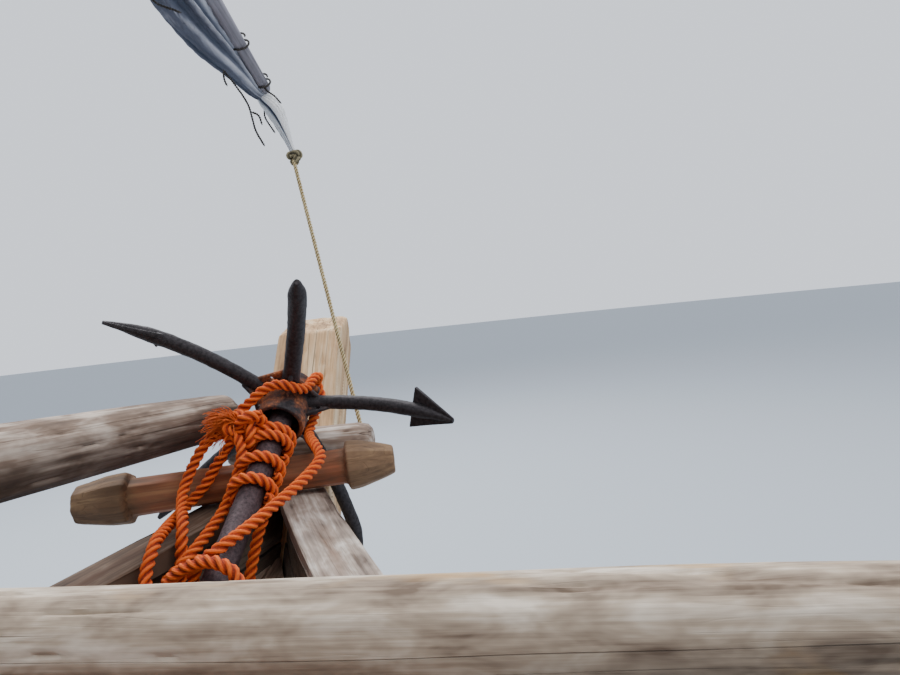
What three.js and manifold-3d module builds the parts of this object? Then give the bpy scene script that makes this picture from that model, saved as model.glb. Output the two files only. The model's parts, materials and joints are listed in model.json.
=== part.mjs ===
// A wooden lateen-rigged dhow of about nine metres, afloat, with its yard lowered part-way,
// its sail furled, and a five-armed grapnel stowed over the bow crossbeam.
// Millimetres. +Y is forward, +X is starboard, +Z is up. The origin is amidships on the waterline.
import * as THREE from 'three';
import { mergeVertices } from 'three/addons/utils/BufferGeometryUtils.js';
import Module from 'manifold-3d';

const wasm = await Module();
wasm.setup();

const GAP = 0.3; // between pieces that touch
const DEGREE = Math.PI / 180;

// Hull, driving dimensions
const TRANSOM_TOP_Y = -4150;
const KEEL_AFT_Y = -3750;
const KEEL_AFT_Z = -440;
const FOREFOOT_Z = -360;
const KEEL_DEPTH = 120;
const KEEL_HALF = 55;
const KEEL_LIP = 30; // how far the keel stands up beside the lowest planks
const WIDEST_Y = -500;
const HALF_BEAM = 1285;
const TRANSOM_HALF = 780;
const BOW_HALF = 25; // half-breadth where the planks meet the stem
const BOW_FINENESS = 0.4;
const LOWEST_SHEER_Y = -800;
const LOWEST_SHEER_Z = 919;
const BOW_SHEER_RISE = 252;
const STERN_SHEER_RISE = 190;
const PLANK = 28;
const WALE = 36; // the sheer strake is thicker and stands out
const RAIL_HEIGHT = 35;
const RAIL_OVERHANG = 14;
const RAIL_WIDTH = 95;

// Stem: its aft face is a straight raked line
const STEM_FACE = { y: 3845, z: 1133, slope: 0.95 }; // slope is forward travel per unit of height
const STEM_HEAD_Z = 1480;
const STEM_HALF = 80;
const STEM_DEPTH = 150;

// Framing
const RIB_DEPTH = 48;
const RIB_WIDTH = 52;
const RIB_TOP = 0.9; // share of the height from keel to sheer
const SHELF_LOW = 0.84;
const KEELSON_HALF = 45;
const KEELSON_DEPTH = 95;
const DECK_BOARD = 26;

// Rig
const MAST_FOOT_Y = 1350;
const MAST_RAKE = 6 * DEGREE; // forward
const MASTHEAD_Z = 5150;
const MAST_RADIUS = 74;
const STEP_HALF = [46, 200];
const STEP_HEIGHT = 150;
const SHEAVE_RADIUS = 64;
const SHEAVE_WIDTH = 20;
const SHEAVE_GROOVE = 7;
const SHEAVE_CLEAR = 6;
const HALYARD_RADIUS = 10;
const YARD_HEEL = new THREE.Vector3(-20, 4116, 2080);
const YARD_LENGTH = 8900;
const YARD_SLOPE = 23.5 * DEGREE;
const YARD_DRIFT = 5.2 * DEGREE; // to port, going aft
const SAIL_START = 150;

// Bow pieces
const CROSSBEAM = { centre: [-46, 3704], shaft: 34, yaw: 8 * DEGREE, tilt: 1.3 * DEGREE };
const BOW_LOG = { y: 3894.4, radius: 38, port: -130, starboard: 184 };
const CROSS_LOG = { y: 3143, radius: 60, port: -600, starboard: 880, yaw: -6.5 * DEGREE, tilt: -0.6 * DEGREE };

// Anchor
const ANCHOR_CROWN = new THREE.Vector3(42, 3774, 1349);
const ANCHOR_AXIS = new THREE.Vector3(0.082, 0.854, 0.513).normalize(); // from the shank's end to the crown
const ARM_REACH = 347;
const ARM_SWEEP = 69; // the tips lean back towards the shank
const ARM_PHASE = 66 * DEGREE;
const ARM_RADIUS = 14;
const SHANK_RADIUS = 22;
const SHANK_LENGTH = 643;

const V = (x, y, z) => new THREE.Vector3(x, y, z);
const group = new THREE.Group();

// Finishes: colour, roughness, metalness
const FINISHES = {
  hull_wood: [0x8b8478, 0.9, 0],
  bleached_wood: [0xb9b2a0, 0.92, 0],
  dark_wood: [0x6b5f50, 0.9, 0],
  beam_wood: [0x9a6b45, 0.85, 0],
  rusty_iron: [0x3a302b, 0.8, 0.6],
  sailcloth: [0xc9ccd0, 0.95, 0],
  rope: [0xa8926c, 0.95, 0],
  orange_rope: [0xb5653c, 0.9, 0],
};

function add(name, geometry, finish) {
  const [color, roughness, metalness] = FINISHES[finish];
  const mesh = new THREE.Mesh(geometry, new THREE.MeshStandardMaterial({ color, roughness, metalness }));
  mesh.name = name;
  group.add(mesh);
  return mesh;
}

// Closed meshes and booleans
function closed(geometry) {
  const bare = geometry.clone();
  bare.deleteAttribute('normal');
  bare.deleteAttribute('uv');
  return mergeVertices(bare, 1e-3);
}

function volume(geometry) {
  const p = geometry.attributes.position;
  const at = (i) => V().fromBufferAttribute(p, geometry.index.getX(i));
  let sum = 0;
  for (let i = 0; i < geometry.index.count; i += 3) {
    sum += at(i).dot(at(i + 1).cross(at(i + 2)));
  }
  return sum / 6;
}

function solid(geometry) {
  const g = closed(geometry);
  return new wasm.Manifold(new wasm.Mesh({
    numProp: 3,
    vertProperties: new Float32Array(g.attributes.position.array),
    triVerts: new Uint32Array(g.index.array),
  }));
}

function geometryOf(manifold) {
  const mesh = manifold.getMesh();
  const geometry = new THREE.BufferGeometry();
  const points = new Float32Array((mesh.vertProperties.length / mesh.numProp) * 3);
  for (let i = 0; i < points.length / 3; i++) {
    for (let k = 0; k < 3; k++) {
      points[3 * i + k] = mesh.vertProperties[mesh.numProp * i + k];
    }
  }
  geometry.setAttribute('position', new THREE.BufferAttribute(points, 3));
  geometry.setIndex(Array.from(mesh.triVerts));
  return geometry;
}

const cut = (from, ...tools) => geometryOf(tools.reduce((a, t) => a.subtract(solid(t)), solid(from)));
const join = (first, ...rest) => geometryOf(rest.reduce((a, t) => a.add(solid(t)), solid(first)));

// A closed skin through rings of points, each ring a closed section with the same count
function skin(rings) {
  const count = rings[0].length;
  const points = rings.flat();
  const index = [];
  for (let j = 0; j + 1 < rings.length; j++) {
    for (let k = 0; k < count; k++) {
      const a = j * count + k;
      const b = j * count + ((k + 1) % count);
      index.push(a, b, a + count, b, b + count, a + count);
    }
  }
  for (const [ring, first, flip] of [[rings[0], 0, true], [rings.at(-1), points.length - count, false]]) {
    const normal = V(0, 0, 0);
    ring.forEach((p, k) => normal.add(p.clone().cross(ring[(k + 1) % count])));
    normal.normalize();
    const across = ring[1].clone().sub(ring[0]).normalize();
    const up = normal.clone().cross(across);
    const flat = ring.map((p) => new THREE.Vector2(p.dot(across), p.dot(up)));
    for (const [a, b, c] of THREE.ShapeUtils.triangulateShape(flat, [])) {
      index.push(...(flip ? [first + c, first + b, first + a] : [first + a, first + b, first + c]));
    }
  }
  const geometry = new THREE.BufferGeometry().setFromPoints(points);
  geometry.setIndex(index);
  if (volume(geometry) < 0) {
    const flipped = [];
    for (let i = 0; i < index.length; i += 3) {
      flipped.push(index[i], index[i + 2], index[i + 1]);
    }
    geometry.setIndex(flipped);
  }
  return geometry;
}

// A round bar along a curve, with a radius that changes
function bar(curve, radiusAt, steps, sides) {
  const frames = curve.computeFrenetFrames(steps, false);
  const rings = [];
  for (let j = 0; j <= steps; j++) {
    const centre = curve.getPointAt(j / steps);
    const radius = radiusAt(j / steps);
    rings.push(Array.from({ length: sides }, (_, k) => {
      const a = (k / sides) * 2 * Math.PI;
      return centre.clone()
        .addScaledVector(frames.normals[j], radius * Math.cos(a))
        .addScaledVector(frames.binormals[j], radius * Math.sin(a));
    }));
  }
  return skin(rings);
}

// A straight turned pole: stations are [distance from the start, radius]
function pole(start, direction, stations, sides) {
  const profile = [[stations[0][0], 0], ...stations, [stations.at(-1)[0], 0]];
  const geometry = new THREE.LatheGeometry(profile.map(([d, r]) => new THREE.Vector2(r, d)), sides);
  geometry.applyQuaternion(new THREE.Quaternion().setFromUnitVectors(V(0, 1, 0), direction));
  return geometry.translate(start.x, start.y, start.z);
}

function box(x, y, z) { // each is [low, high]
  const geometry = new THREE.BoxGeometry(x[1] - x[0], y[1] - y[0], z[1] - z[0]);
  return geometry.translate((x[0] + x[1]) / 2, (y[0] + y[1]) / 2, (z[0] + z[1]) / 2);
}

// A flat outline in the centre plane, given as [y, z], as thick as the half-width on each side
function slab(outline, half) {
  const shape = new THREE.Shape(outline.map(([y, z]) => new THREE.Vector2(y, z)));
  const geometry = new THREE.ExtrudeGeometry(shape, { depth: 2 * half, bevelEnabled: false });
  geometry.translate(0, 0, -half);
  return geometry.applyMatrix4(new THREE.Matrix4().makeBasis(V(0, 1, 0), V(0, 0, 1), V(1, 0, 0)));
}

function mirrored(geometry) {
  const g = closed(geometry);
  g.scale(-1, 1, 1);
  const index = Array.from(g.index.array);
  for (let i = 0; i < index.length; i += 3) {
    [index[i + 1], index[i + 2]] = [index[i + 2], index[i + 1]];
  }
  g.setIndex(index);
  return g;
}

// Hull surface: s runs from transom to stem, u from keel to sheer
const smooth = (a, b, t) => THREE.MathUtils.smoothstep(t, a, b);
const stemY = (z) => STEM_FACE.y + (z - STEM_FACE.z) * STEM_FACE.slope;
const FOREFOOT_Y = stemY(FOREFOOT_Z) + 20;
const STEM_TOP_Z = LOWEST_SHEER_Z + BOW_SHEER_RISE;
const STEM_TOP_Y = stemY(STEM_TOP_Z) + 20;

function sheerHeight(y) {
  const forward = y > LOWEST_SHEER_Y;
  const run = forward ? STEM_TOP_Y - LOWEST_SHEER_Y : LOWEST_SHEER_Y - TRANSOM_TOP_Y;
  const rise = forward ? BOW_SHEER_RISE : STERN_SHEER_RISE;
  return LOWEST_SHEER_Z + rise * ((y - LOWEST_SHEER_Y) / run) ** 2;
}

function sheerHalf(y) {
  if (y < WIDEST_Y) {
    const t = (WIDEST_Y - y) / (WIDEST_Y - TRANSOM_TOP_Y);
    return TRANSOM_HALF + (HALF_BEAM - TRANSOM_HALF) * (1 - t * t);
  }
  const t = (y - WIDEST_Y) / (STEM_TOP_Y - WIDEST_Y);
  return BOW_HALF + (HALF_BEAM - BOW_HALF) * (1 - t * t) * (1 - BOW_FINENESS * t ** 4);
}

const keelHeight = (y) =>
  KEEL_AFT_Z + ((FOREFOOT_Z - KEEL_AFT_Z) * (y - KEEL_AFT_Y)) / (FOREFOOT_Y - KEEL_AFT_Y);

function fullness(s, u) {
  const bow = smooth(0.42, 1, s);
  const stern = 1 - smooth(0, 0.42, s);
  const round = 1 - Math.max(1 - u, 0) ** 2.3;
  const vee = u ** 0.92;
  const wineglass = 0.35 * u + 0.65 * u * u * (3 - 2 * u);
  return bow * vee + stern * wineglass + (1 - bow - stern) * round;
}

function hullPoint(s, u) {
  const keelY = THREE.MathUtils.lerp(KEEL_AFT_Y, FOREFOOT_Y, s);
  const sheerY = THREE.MathUtils.lerp(TRANSOM_TOP_Y, STEM_TOP_Y, s);
  const half = sheerHalf(sheerY);
  return V(
    20 + (half - 20) * fullness(s, Math.max(u, 0)),
    THREE.MathUtils.lerp(keelY, sheerY, u),
    THREE.MathUtils.lerp(keelHeight(keelY), sheerHeight(sheerY), u),
  );
}

// A point that far inside the outer planking, starboard side
function inside(s, u, depth) {
  const e = 0.004;
  const along = hullPoint(Math.min(s + e, 1), u).sub(hullPoint(s - e, u));
  const up = hullPoint(s, u + e).sub(hullPoint(s, Math.max(u - e, 0)));
  const inward = up.cross(along).normalize();
  if (inward.x > 0) {
    inward.negate();
  }
  const p = hullPoint(s, u).addScaledVector(inward, depth);
  p.x = Math.max(p.x, depth > 0 ? 0.5 : 1);
  return p;
}

const steps = (from, to, count) =>
  Array.from({ length: count + 1 }, (_, i) => from + ((to - from) * i) / count);

// A strip that follows the hull between two heights and two depths
function strip(alongHull, upHull, outer, inner) {
  return skin(alongHull.map((s) => [
    ...upHull.map((u) => inside(s, u, outer)),
    ...upHull.toReversed().map((u) => inside(s, u, inner)),
  ]));
}

// Backbone
const DEADWOOD = { aft: -2500, fore: 900, step: 1100, stepRise: 105, rise: 150 }; // deeper towards the ends
const keelTop = (y) => keelHeight(y) + KEEL_LIP;
const stepBase = keelTop(MAST_FOOT_Y) + DEADWOOD.stepRise;
const KEEL_END_Y = KEEL_AFT_Y - 116;
const STEM_FOOT_Y = stemY(FOREFOOT_Z) - 220;

function keel(grow) {
  return slab([
    [KEEL_END_Y - grow, keelHeight(KEEL_END_Y) - KEEL_DEPTH - grow],
    [STEM_FOOT_Y + grow, keelHeight(STEM_FOOT_Y) - KEEL_DEPTH - grow],
    [STEM_FOOT_Y + grow, keelTop(STEM_FOOT_Y) + DEADWOOD.rise + grow],
    [DEADWOOD.step, keelTop(DEADWOOD.step) + DEADWOOD.stepRise + grow],
    [DEADWOOD.fore, keelTop(DEADWOOD.fore) + grow],
    [DEADWOOD.aft, keelTop(DEADWOOD.aft) + grow],
    [KEEL_END_Y - grow, keelTop(KEEL_END_Y) + DEADWOOD.rise + grow],
  ], KEEL_HALF + grow);
}

function stem(grow) {
  const thick = STEM_DEPTH * Math.hypot(1, STEM_FACE.slope);
  const foot = STEM_FOOT_Y + GAP;
  const bottom = keelHeight(foot) - KEEL_DEPTH;
  const top = keelTop(foot) + DEADWOOD.rise;
  return slab([
    [foot - grow, bottom - grow],
    [stemY(bottom) + thick * 0.42, bottom - grow],
    [stemY(bottom + 110) + thick, bottom + 110],
    [stemY(STEM_HEAD_Z - 60) + thick + grow, STEM_HEAD_Z - 60],
    [stemY(STEM_HEAD_Z - 50) + thick * 0.93 + grow, STEM_HEAD_Z + 34],
    [stemY(STEM_HEAD_Z) - grow, STEM_HEAD_Z],
    [Math.max(stemY(top), foot + 60) - grow, top + grow],
    [foot - grow, top + grow],
  ], STEM_HALF + grow);
}

// Raked frame of the stern: a is aft of the planking's end, h is height along the post
const POST_FOOT = V(0, KEEL_AFT_Y, KEEL_AFT_Z);
const POST_UP = V(0, TRANSOM_TOP_Y - KEEL_AFT_Y, sheerHeight(TRANSOM_TOP_Y) - KEEL_AFT_Z);
const POST_LENGTH = POST_UP.length();
POST_UP.normalize();
const POST_AFT = V(0, -POST_UP.z, POST_UP.y);
const raked = (a, h) => {
  const p = POST_FOOT.clone().addScaledVector(POST_AFT, a).addScaledVector(POST_UP, h);
  return [p.y, p.z];
};
const TRANSOM_THICK = 38;
const POST_DEPTH = 95;
const POST_BACK = TRANSOM_THICK + GAP + POST_DEPTH;

function sternpost(grow) {
  const a = TRANSOM_THICK + GAP;
  return slab([
    raked(a - grow, 42),
    raked(POST_BACK + grow, 10),
    raked(POST_BACK + grow, POST_LENGTH + 60),
    raked(a - grow, POST_LENGTH + 60),
  ], 46 + grow);
}

function transom() {
  const ring = (a) => {
    const side = steps(0.035, 1, 14).map((u) => {
      const p = hullPoint(0, u);
      return p.addScaledVector(POST_AFT, a).add(V(1, 0, 0));
    });
    const crown = [0.66, 0.33, 0].map((k) => {
      const p = side.at(-1).clone();
      return V(p.x * k, p.y, p.z).addScaledVector(POST_UP, 46 * (1 - k * k));
    });
    const starboard = [...side, ...crown];
    const port = starboard.slice(0, -1).reverse().map((p) => V(-p.x, p.y, p.z));
    return [...starboard, ...port];
  };
  return skin([ring(GAP), ring(TRANSOM_THICK)]);
}

add('keel', cut(keel(0), sternpostFoot()), 'dark_wood');
add('stem_post', stem(0), 'bleached_wood');
add('sternpost', sternpost(0), 'dark_wood');
add('transom', cut(transom(), keel(GAP)), 'hull_wood');

// The part of the keel that the sternpost stands in
function sternpostFoot() {
  return slab([
    raked(TRANSOM_THICK, 42 - GAP),
    raked(POST_BACK + 200, 10 - GAP - 32 * (200 / POST_DEPTH)),
    raked(POST_BACK + 200, 400),
    raked(TRANSOM_THICK, 400),
  ], KEEL_HALF + 10);
}

// Planking, as wide strakes on each side
function behindTransom() {
  const corners = [[0, -600], [600, -600], [600, POST_LENGTH + 900], [0, POST_LENGTH + 900]];
  return slab(corners.map(([a, h]) => raked(a, h)), 2 * HALF_BEAM);
}
const STATIONS = steps(-0.006, 1, 26);

// All that lies above a level that follows the hull, starboard side
function above(level) {
  const rings = STATIONS.map((s) => {
    const { y, z } = level(s);
    return [V(-20, y, z), V(1600, y, z), V(1600, y, z + 700), V(-20, y, z + 700)];
  });
  return skin([...rings, rings.at(-1).map((p) => p.clone().add(V(0, 200, 0)))]);
}
const railSeat = (s) => inside(s, 1, PLANK - WALE);
const shelfTop = (s) => inside(s, RIB_TOP, PLANK);
const backbone = [keel(GAP), stem(GAP), behindTransom(), above(railSeat)];
const LAST = STATIONS.length - 1;
const STRAKES = [ // name, low u, high u, outer depth, inner depth, stations where its planks butt
  ['bottom_planks', 0, 0.4, 0, PLANK, { aft: [0, 16], fore: [16, LAST] }],
  ['side_planks', 0.4, 0.86, 0, PLANK, { aft: [0, 8], middle: [8, 17], fore: [17, LAST] }],
  ['sheer_strake', 0.86, 1, PLANK - WALE, PLANK, { whole: [0, LAST] }],
];
const SEAM_U = 0.9 / 1500; // half of a caulked seam
const BUTT_S = 0.6 / 8000; // half of the joint between two planks' ends
const plankHeights = (low, high) => steps(low + SEAM_U, high - SEAM_U, Math.round((high - low) * 9) + 1);
for (const [name, low, high, outer, inner, lengths] of STRAKES) {
  const trims = low === 0 ? [...backbone, keelson(GAP)] : backbone;
  const heights = plankHeights(low, high + (high === 1 ? 0.02 : 0));
  for (const [length, [first, last]] of Object.entries(lengths)) {
    const along = STATIONS.slice(first, last + 1);
    along[0] += first > 0 ? BUTT_S : 0;
    along[along.length - 1] -= last < LAST ? BUTT_S : 0;
    const plank = cut(strip(along, heights, outer, inner), ...trims);
    const place = length === 'whole' ? '' : `_${length}`;
    add(`${name}${place}_starboard`, plank, 'hull_wood');
    add(`${name}${place}_port`, mirrored(plank), 'hull_wood');
  }
}

// Cap rails
function rail() {
  const rings = STATIONS.map((s) => {
    const p = railSeat(s);
    const top = p.z + GAP + RAIL_HEIGHT;
    const outer = p.x + RAIL_OVERHANG;
    const inner = Math.max(outer - RAIL_WIDTH, 0.5);
    return [
      V(outer, p.y, p.z + GAP),
      V(outer, p.y, top - 6),
      V(outer - 8, p.y, top),
      V(inner, p.y, top),
      V(inner, p.y, p.z + GAP),
    ];
  });
  return cut(skin(rings), stem(GAP), behindTransom());
}
add('cap_rail_starboard', rail(), 'bleached_wood');
add('cap_rail_port', mirrored(rail()), 'bleached_wood');

// Keelson, ribs and shelves
function keelson(grow) {
  const aft = DEADWOOD.aft + 60;
  const fore = DEADWOOD.fore - 10;
  return slab([
    [aft - grow, keelTop(aft) + GAP - grow],
    [fore + grow, keelTop(fore) + GAP - grow],
    [fore + grow, keelTop(fore) + GAP + KEELSON_DEPTH + grow],
    [aft - grow, keelTop(aft) + GAP + KEELSON_DEPTH + grow],
  ], KEELSON_HALF + grow);
}
add('keelson', keelson(0), 'dark_wood');

const RIB_SPACING = 2; // a rib at every second station
function framesSide() {
  const depth = PLANK + 6 * GAP;
  const halfStep = RIB_WIDTH / 2 / 7000;
  const heights = [...plankHeights(0, 0.4), ...plankHeights(0.4, 0.86).slice(1), RIB_TOP + 0.02];
  const ribs = STATIONS.filter((_, i) => i % RIB_SPACING === 1).map((s) =>
    strip([s - halfStep, s + halfStep], heights, depth, depth + RIB_DEPTH));
  const stringer = (low, high, thick) =>
    strip(steps(0.03, 0.965, 22), [low, high + 0.02], depth + RIB_DEPTH - 12, depth + RIB_DEPTH - 12 + thick);
  const whole = join(stringer(SHELF_LOW, RIB_TOP, 46), stringer(0.42, 0.47, 36), ...ribs);
  const portSide = box([-3000, 0.5], [-6000, 6000], [-2000, 3000]);
  return cut(whole, keelson(GAP), keel(GAP), stem(GAP), mastStep(GAP), above(shelfTop), portSide);
}
const frames = framesSide();
add('frames_starboard', frames, 'hull_wood');
add('frames_port', mirrored(frames), 'hull_wood');

// Decks and floor
function deck(from, to) {
  const rings = STATIONS.filter((s) => s > from && s < to).map((s) => {
    const p = shelfTop(s);
    const half = inside(s, RIB_TOP, PLANK + 5).x;
    const low = p.z + GAP;
    const high = low + DECK_BOARD;
    return [V(half, p.y, low), V(half, p.y, high), V(-half, p.y, high), V(-half, p.y, low)];
  });
  return skin(rings);
}
add('fore_deck', cut(deck(0.84, 1.001), stem(GAP)), 'bleached_wood');
add('aft_deck', deck(0, 0.17), 'hull_wood');

const FLOOR_U = 0.17;
function floorBoards() {
  const rings = steps(0.2, 0.74, 10).map((s) => {
    const { x, y, z } = inside(s, FLOOR_U, PLANK + RIB_DEPTH + 3);
    return [V(x, y, z), V(x, y, z + DECK_BOARD), V(-x, y, z + DECK_BOARD), V(-x, y, z)];
  });
  return skin(rings);
}

// Mast: foot on its step, held by the mast thwart
const mastDirection = V(0, Math.sin(MAST_RAKE), Math.cos(MAST_RAKE));

const mastFoot = V(0, MAST_FOOT_Y, stepBase + STEP_HEIGHT + 9);
const MAST_LENGTH = (MASTHEAD_Z - mastFoot.z) / Math.cos(MAST_RAKE);
const mastAt = (z) => mastFoot.clone().addScaledVector(mastDirection, (z - mastFoot.z) / mastDirection.z);

function mast(grow) {
  const stations = [
    [0, MAST_RADIUS * 0.92 + grow], [900, MAST_RADIUS + grow], [2600, MAST_RADIUS * 0.92 + grow],
    [MAST_LENGTH - 260, 52 + grow], [MAST_LENGTH - 20, 49 + grow], [MAST_LENGTH + grow, 40 + grow],
  ];
  return pole(mastFoot, mastDirection, stations, 20);
}
function mastStep(grow) {
  return box(
    [-STEP_HALF[0] - grow, STEP_HALF[0] + grow],
    [MAST_FOOT_Y - STEP_HALF[1] - grow, MAST_FOOT_Y + STEP_HALF[1] + grow],
    [stepBase - grow, stepBase + STEP_HEIGHT + grow],
  );
}
add('mast_step', cut(mastStep(0), keel(GAP), keelson(GAP)), 'dark_wood');

add('floor_boards', floorBoards(), 'hull_wood');

// Sheave at the masthead, on a pin across a slot
const sheaveCentre = mastAt(MASTHEAD_Z - 130);
const slot = box(
  [-SHEAVE_WIDTH / 2 - SHEAVE_CLEAR, SHEAVE_WIDTH / 2 + SHEAVE_CLEAR],
  [sheaveCentre.y - 120, sheaveCentre.y + 120],
  [sheaveCentre.z - SHEAVE_RADIUS - 8, sheaveCentre.z + SHEAVE_RADIUS + 22],
);
const sheavePin = pole(V(-40, sheaveCentre.y, sheaveCentre.z), V(1, 0, 0), [[0, 9], [80, 9]], 14);
const mastHeel = pole(mastFoot, V(0, 0, -1), [[-30, 44], [9 - GAP, 44]], 16); // flat, on the step
add('mast', join(cut(mast(0), slot), sheavePin, mastHeel), 'dark_wood');
const sheaveProfile = [
  [10, -10], [SHEAVE_RADIUS, -10], [SHEAVE_RADIUS - SHEAVE_GROOVE, 0], [SHEAVE_RADIUS, 10], [10, 10], [10, -10],
];
const sheave = new THREE.LatheGeometry(sheaveProfile.map(([r, x]) => new THREE.Vector2(r, x)), 24);
sheave.rotateZ(-Math.PI / 2);
sheave.translate(sheaveCentre.x, sheaveCentre.y, sheaveCentre.z);
add('masthead_sheave', sheave, 'dark_wood');

// Thwarts between the ribs, resting on the shelves
const THWARTS = [ // name, y, width, thickness
  ['mast_thwart', 1470, 250, 60],
  ['middle_thwart', -420, 230, 48],
  ['aft_thwart', -2270, 230, 48],
];
function levelAt(level, y) { // height of a level that runs straight from station to station
  const next = STATIONS.findIndex((s) => level(s).y > y);
  const [a, b] = [level(STATIONS[next - 1]), level(STATIONS[next])];
  return a.z + ((b.z - a.z) * (y - a.y)) / (b.y - a.y);
}
function thwartBox(y, width, thick) {
  const along = STATIONS.filter((s) => Math.abs(shelfTop(s).y - y) < width / 2 + 200);
  const z = Math.max(...steps(y - width / 2, y + width / 2, 8).map((at) => levelAt(shelfTop, at))) + GAP;
  const half = Math.min(...along.map((s) => shelfTop(s).x)) - 14;
  return { x: [-half, half], y: [y - width / 2, y + width / 2], z: [z, z + thick] };
}
for (const [name, y, width, thick] of THWARTS) {
  const size = thwartBox(y, width, thick);
  const whole = box(size.x, size.y, size.z);
  add(name, name === 'mast_thwart' ? cut(whole, mast(8)) : whole, 'hull_wood');
}

// Yard of two spars fished together, heel at the bow
const yardDirection = V(
  -Math.cos(YARD_SLOPE) * Math.sin(YARD_DRIFT),
  -Math.cos(YARD_SLOPE) * Math.cos(YARD_DRIFT),
  Math.sin(YARD_SLOPE),
);
const yardUp = V(0, 0, 1).addScaledVector(yardDirection, -yardDirection.z).normalize();
const yardSide = V().crossVectors(yardDirection, yardUp).normalize(); // towards port
const yardAt = (d) => YARD_HEEL.clone().addScaledVector(yardDirection, d);
const SPAR_LIFT = 81; // between the axes where the two spars lie together
const LOWER_SPAR = [[0, 10], [25, 15], [600, 24], [1700, 42], [2800, 52], [5600, 34]];
const UPPER_SPAR = [[4300, 34], [5600, 47], [7000, 36], [YARD_LENGTH - 40, 20], [YARD_LENGTH, 12]];
add('yard_lower_spar', pole(YARD_HEEL, yardDirection, LOWER_SPAR, 14), 'dark_wood');
const upperHeel = yardAt(0).addScaledVector(yardUp, SPAR_LIFT);
add('yard_upper_spar', pole(upperHeel, yardDirection, UPPER_SPAR, 14), 'dark_wood');

function radiusOn(stations, d) {
  const next = stations.findIndex(([at]) => at >= d);
  const [[d0, r0], [d1, r1]] = [stations[Math.max(next - 1, 0)], stations[Math.max(next, 1)]];
  return r0 + ((r1 - r0) * (d - d0)) / (d1 - d0);
}

// Sail furled along the port and under side of the yard, drawn down to its tack knot
const TACK_KNOT = V(16, 4148, 1936);
const SAIL_END = YARD_LENGTH - 420;
const SAIL_RADII = [[0, 13], [120, 26], [500, 41], [1500, 60], [4200, 74], [7000, 52], [SAIL_END, 16]];
const sailWay = V().addScaledVector(yardSide, 0.8).addScaledVector(yardUp, -0.6).normalize();
function sailCentre(d) {
  const free = smooth(LOWER_SPAR.at(-1)[0] + 60, LOWER_SPAR.at(-1)[0] + 900, d);
  const lower = radiusOn(LOWER_SPAR, Math.min(d, LOWER_SPAR.at(-1)[0]));
  const upper = radiusOn(UPPER_SPAR, Math.max(d, UPPER_SPAR[0][0]));
  const bundle = radiusOn(SAIL_RADII, Math.min(d + 180, SAIL_END));
  const reach = THREE.MathUtils.lerp(lower, upper, free) + bundle + 1.5 + 2.1 * free;
  return yardAt(d).addScaledVector(yardUp, SPAR_LIFT * free).addScaledVector(sailWay, reach);
}
const sailPath = new THREE.CatmullRomCurve3([
  TACK_KNOT,
  TACK_KNOT.clone().add(V(-12, 6, 52)),
  sailCentre(60).add(V(-3, 0, -8)),
  ...steps(200, SAIL_END, 18).map(sailCentre),
]);
add('furled_sail', bar(sailPath, (t) => radiusOn(SAIL_RADII, t * SAIL_END), 40, 12), 'sailcloth');

// Halyard: from the sling on the yard, over the sheave, and aft to the aft thwart
const SLING = 2580; // along the yard
const slingTop = yardAt(SLING).addScaledVector(V(0, 0, 1), radiusOn(LOWER_SPAR, SLING) / yardUp.z + 5);
const ropeArc = SHEAVE_RADIUS - SHEAVE_GROOVE + 1.3 * HALYARD_RADIUS + 0.2;
const overSheave = steps(0, 180, 14).map((a) => V(
  0,
  sheaveCentre.y + ropeArc * Math.cos(a * DEGREE),
  sheaveCentre.z + ropeArc * Math.sin(a * DEGREE),
));
const aftThwart = THWARTS.find(([name]) => name === 'aft_thwart');
const aftThwartTop = thwartBox(...aftThwart.slice(1)).z[1];
const halyardEnd = V(430, aftThwart[1] + 20, aftThwartTop + 7.4);
const beside = (side, out) => V(0, sheaveCentre.y + side * (ropeArc + out), sheaveCentre.z - 80);
const halyardPoints = [
  slingTop, slingTop.clone().add(V(2, 2, 70)), beside(1, 0), ...overSheave, beside(-1, 14), halyardEnd,
];
add('halyard', ropeAlong(halyardPoints, HALYARD_RADIUS, 8), 'rope');

// A taut rope through points, one ring at each point
function ropeAlong(points, radius, sides) {
  let across = V(1, 0.2, 0);
  return skin(points.map((p, i) => {
    const before = points[Math.max(i - 1, 0)];
    const after = points[Math.min(i + 1, points.length - 1)];
    const way = p.clone().sub(before).normalize().add(after.clone().sub(p).normalize()).normalize();
    across = across.addScaledVector(way, -across.dot(way)).normalize();
    const other = V().crossVectors(way, across);
    return Array.from({ length: sides }, (_, k) => {
      const a = (k / sides) * 2 * Math.PI;
      return p.clone()
        .addScaledVector(across, radius * Math.cos(a))
        .addScaledVector(other, radius * Math.sin(a));
    });
  }));
}

// Parrel: a rope loop that holds the yard to the mast
const PARREL_RADIUS = 11;
const parrelCentre = yardAt(SLING + 40);
const mastAtParrel = mastAt(parrelCentre.z);
function parrel() {
  const yardSideReach = radiusOn(LOWER_SPAR, SLING) + PARREL_RADIUS - 4;
  const mastReach = MAST_RADIUS + PARREL_RADIUS + 32;
  const from = V(parrelCentre.x, parrelCentre.y, parrelCentre.z);
  const to = V(mastAtParrel.x, mastAtParrel.y, parrelCentre.z);
  const way = to.clone().sub(from).normalize();
  const cross = V(way.y, -way.x, 0);
  const arc = (centre, radius, start, turn) => steps(0, 1, 7).map((t) => {
    const a = start + turn * t;
    return centre.clone()
      .addScaledVector(way, radius * Math.cos(a))
      .addScaledVector(cross, radius * Math.sin(a));
  });
  const around = arc(to, mastReach, -0.5 * Math.PI, Math.PI);
  const back = from.clone().addScaledVector(way, yardSideReach);
  return [back.clone().addScaledVector(cross, -14), ...around, back.clone().addScaledVector(cross, 14)];
}
add('parrel', ropeAlong(parrel(), PARREL_RADIUS, 8), 'rope');

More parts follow.
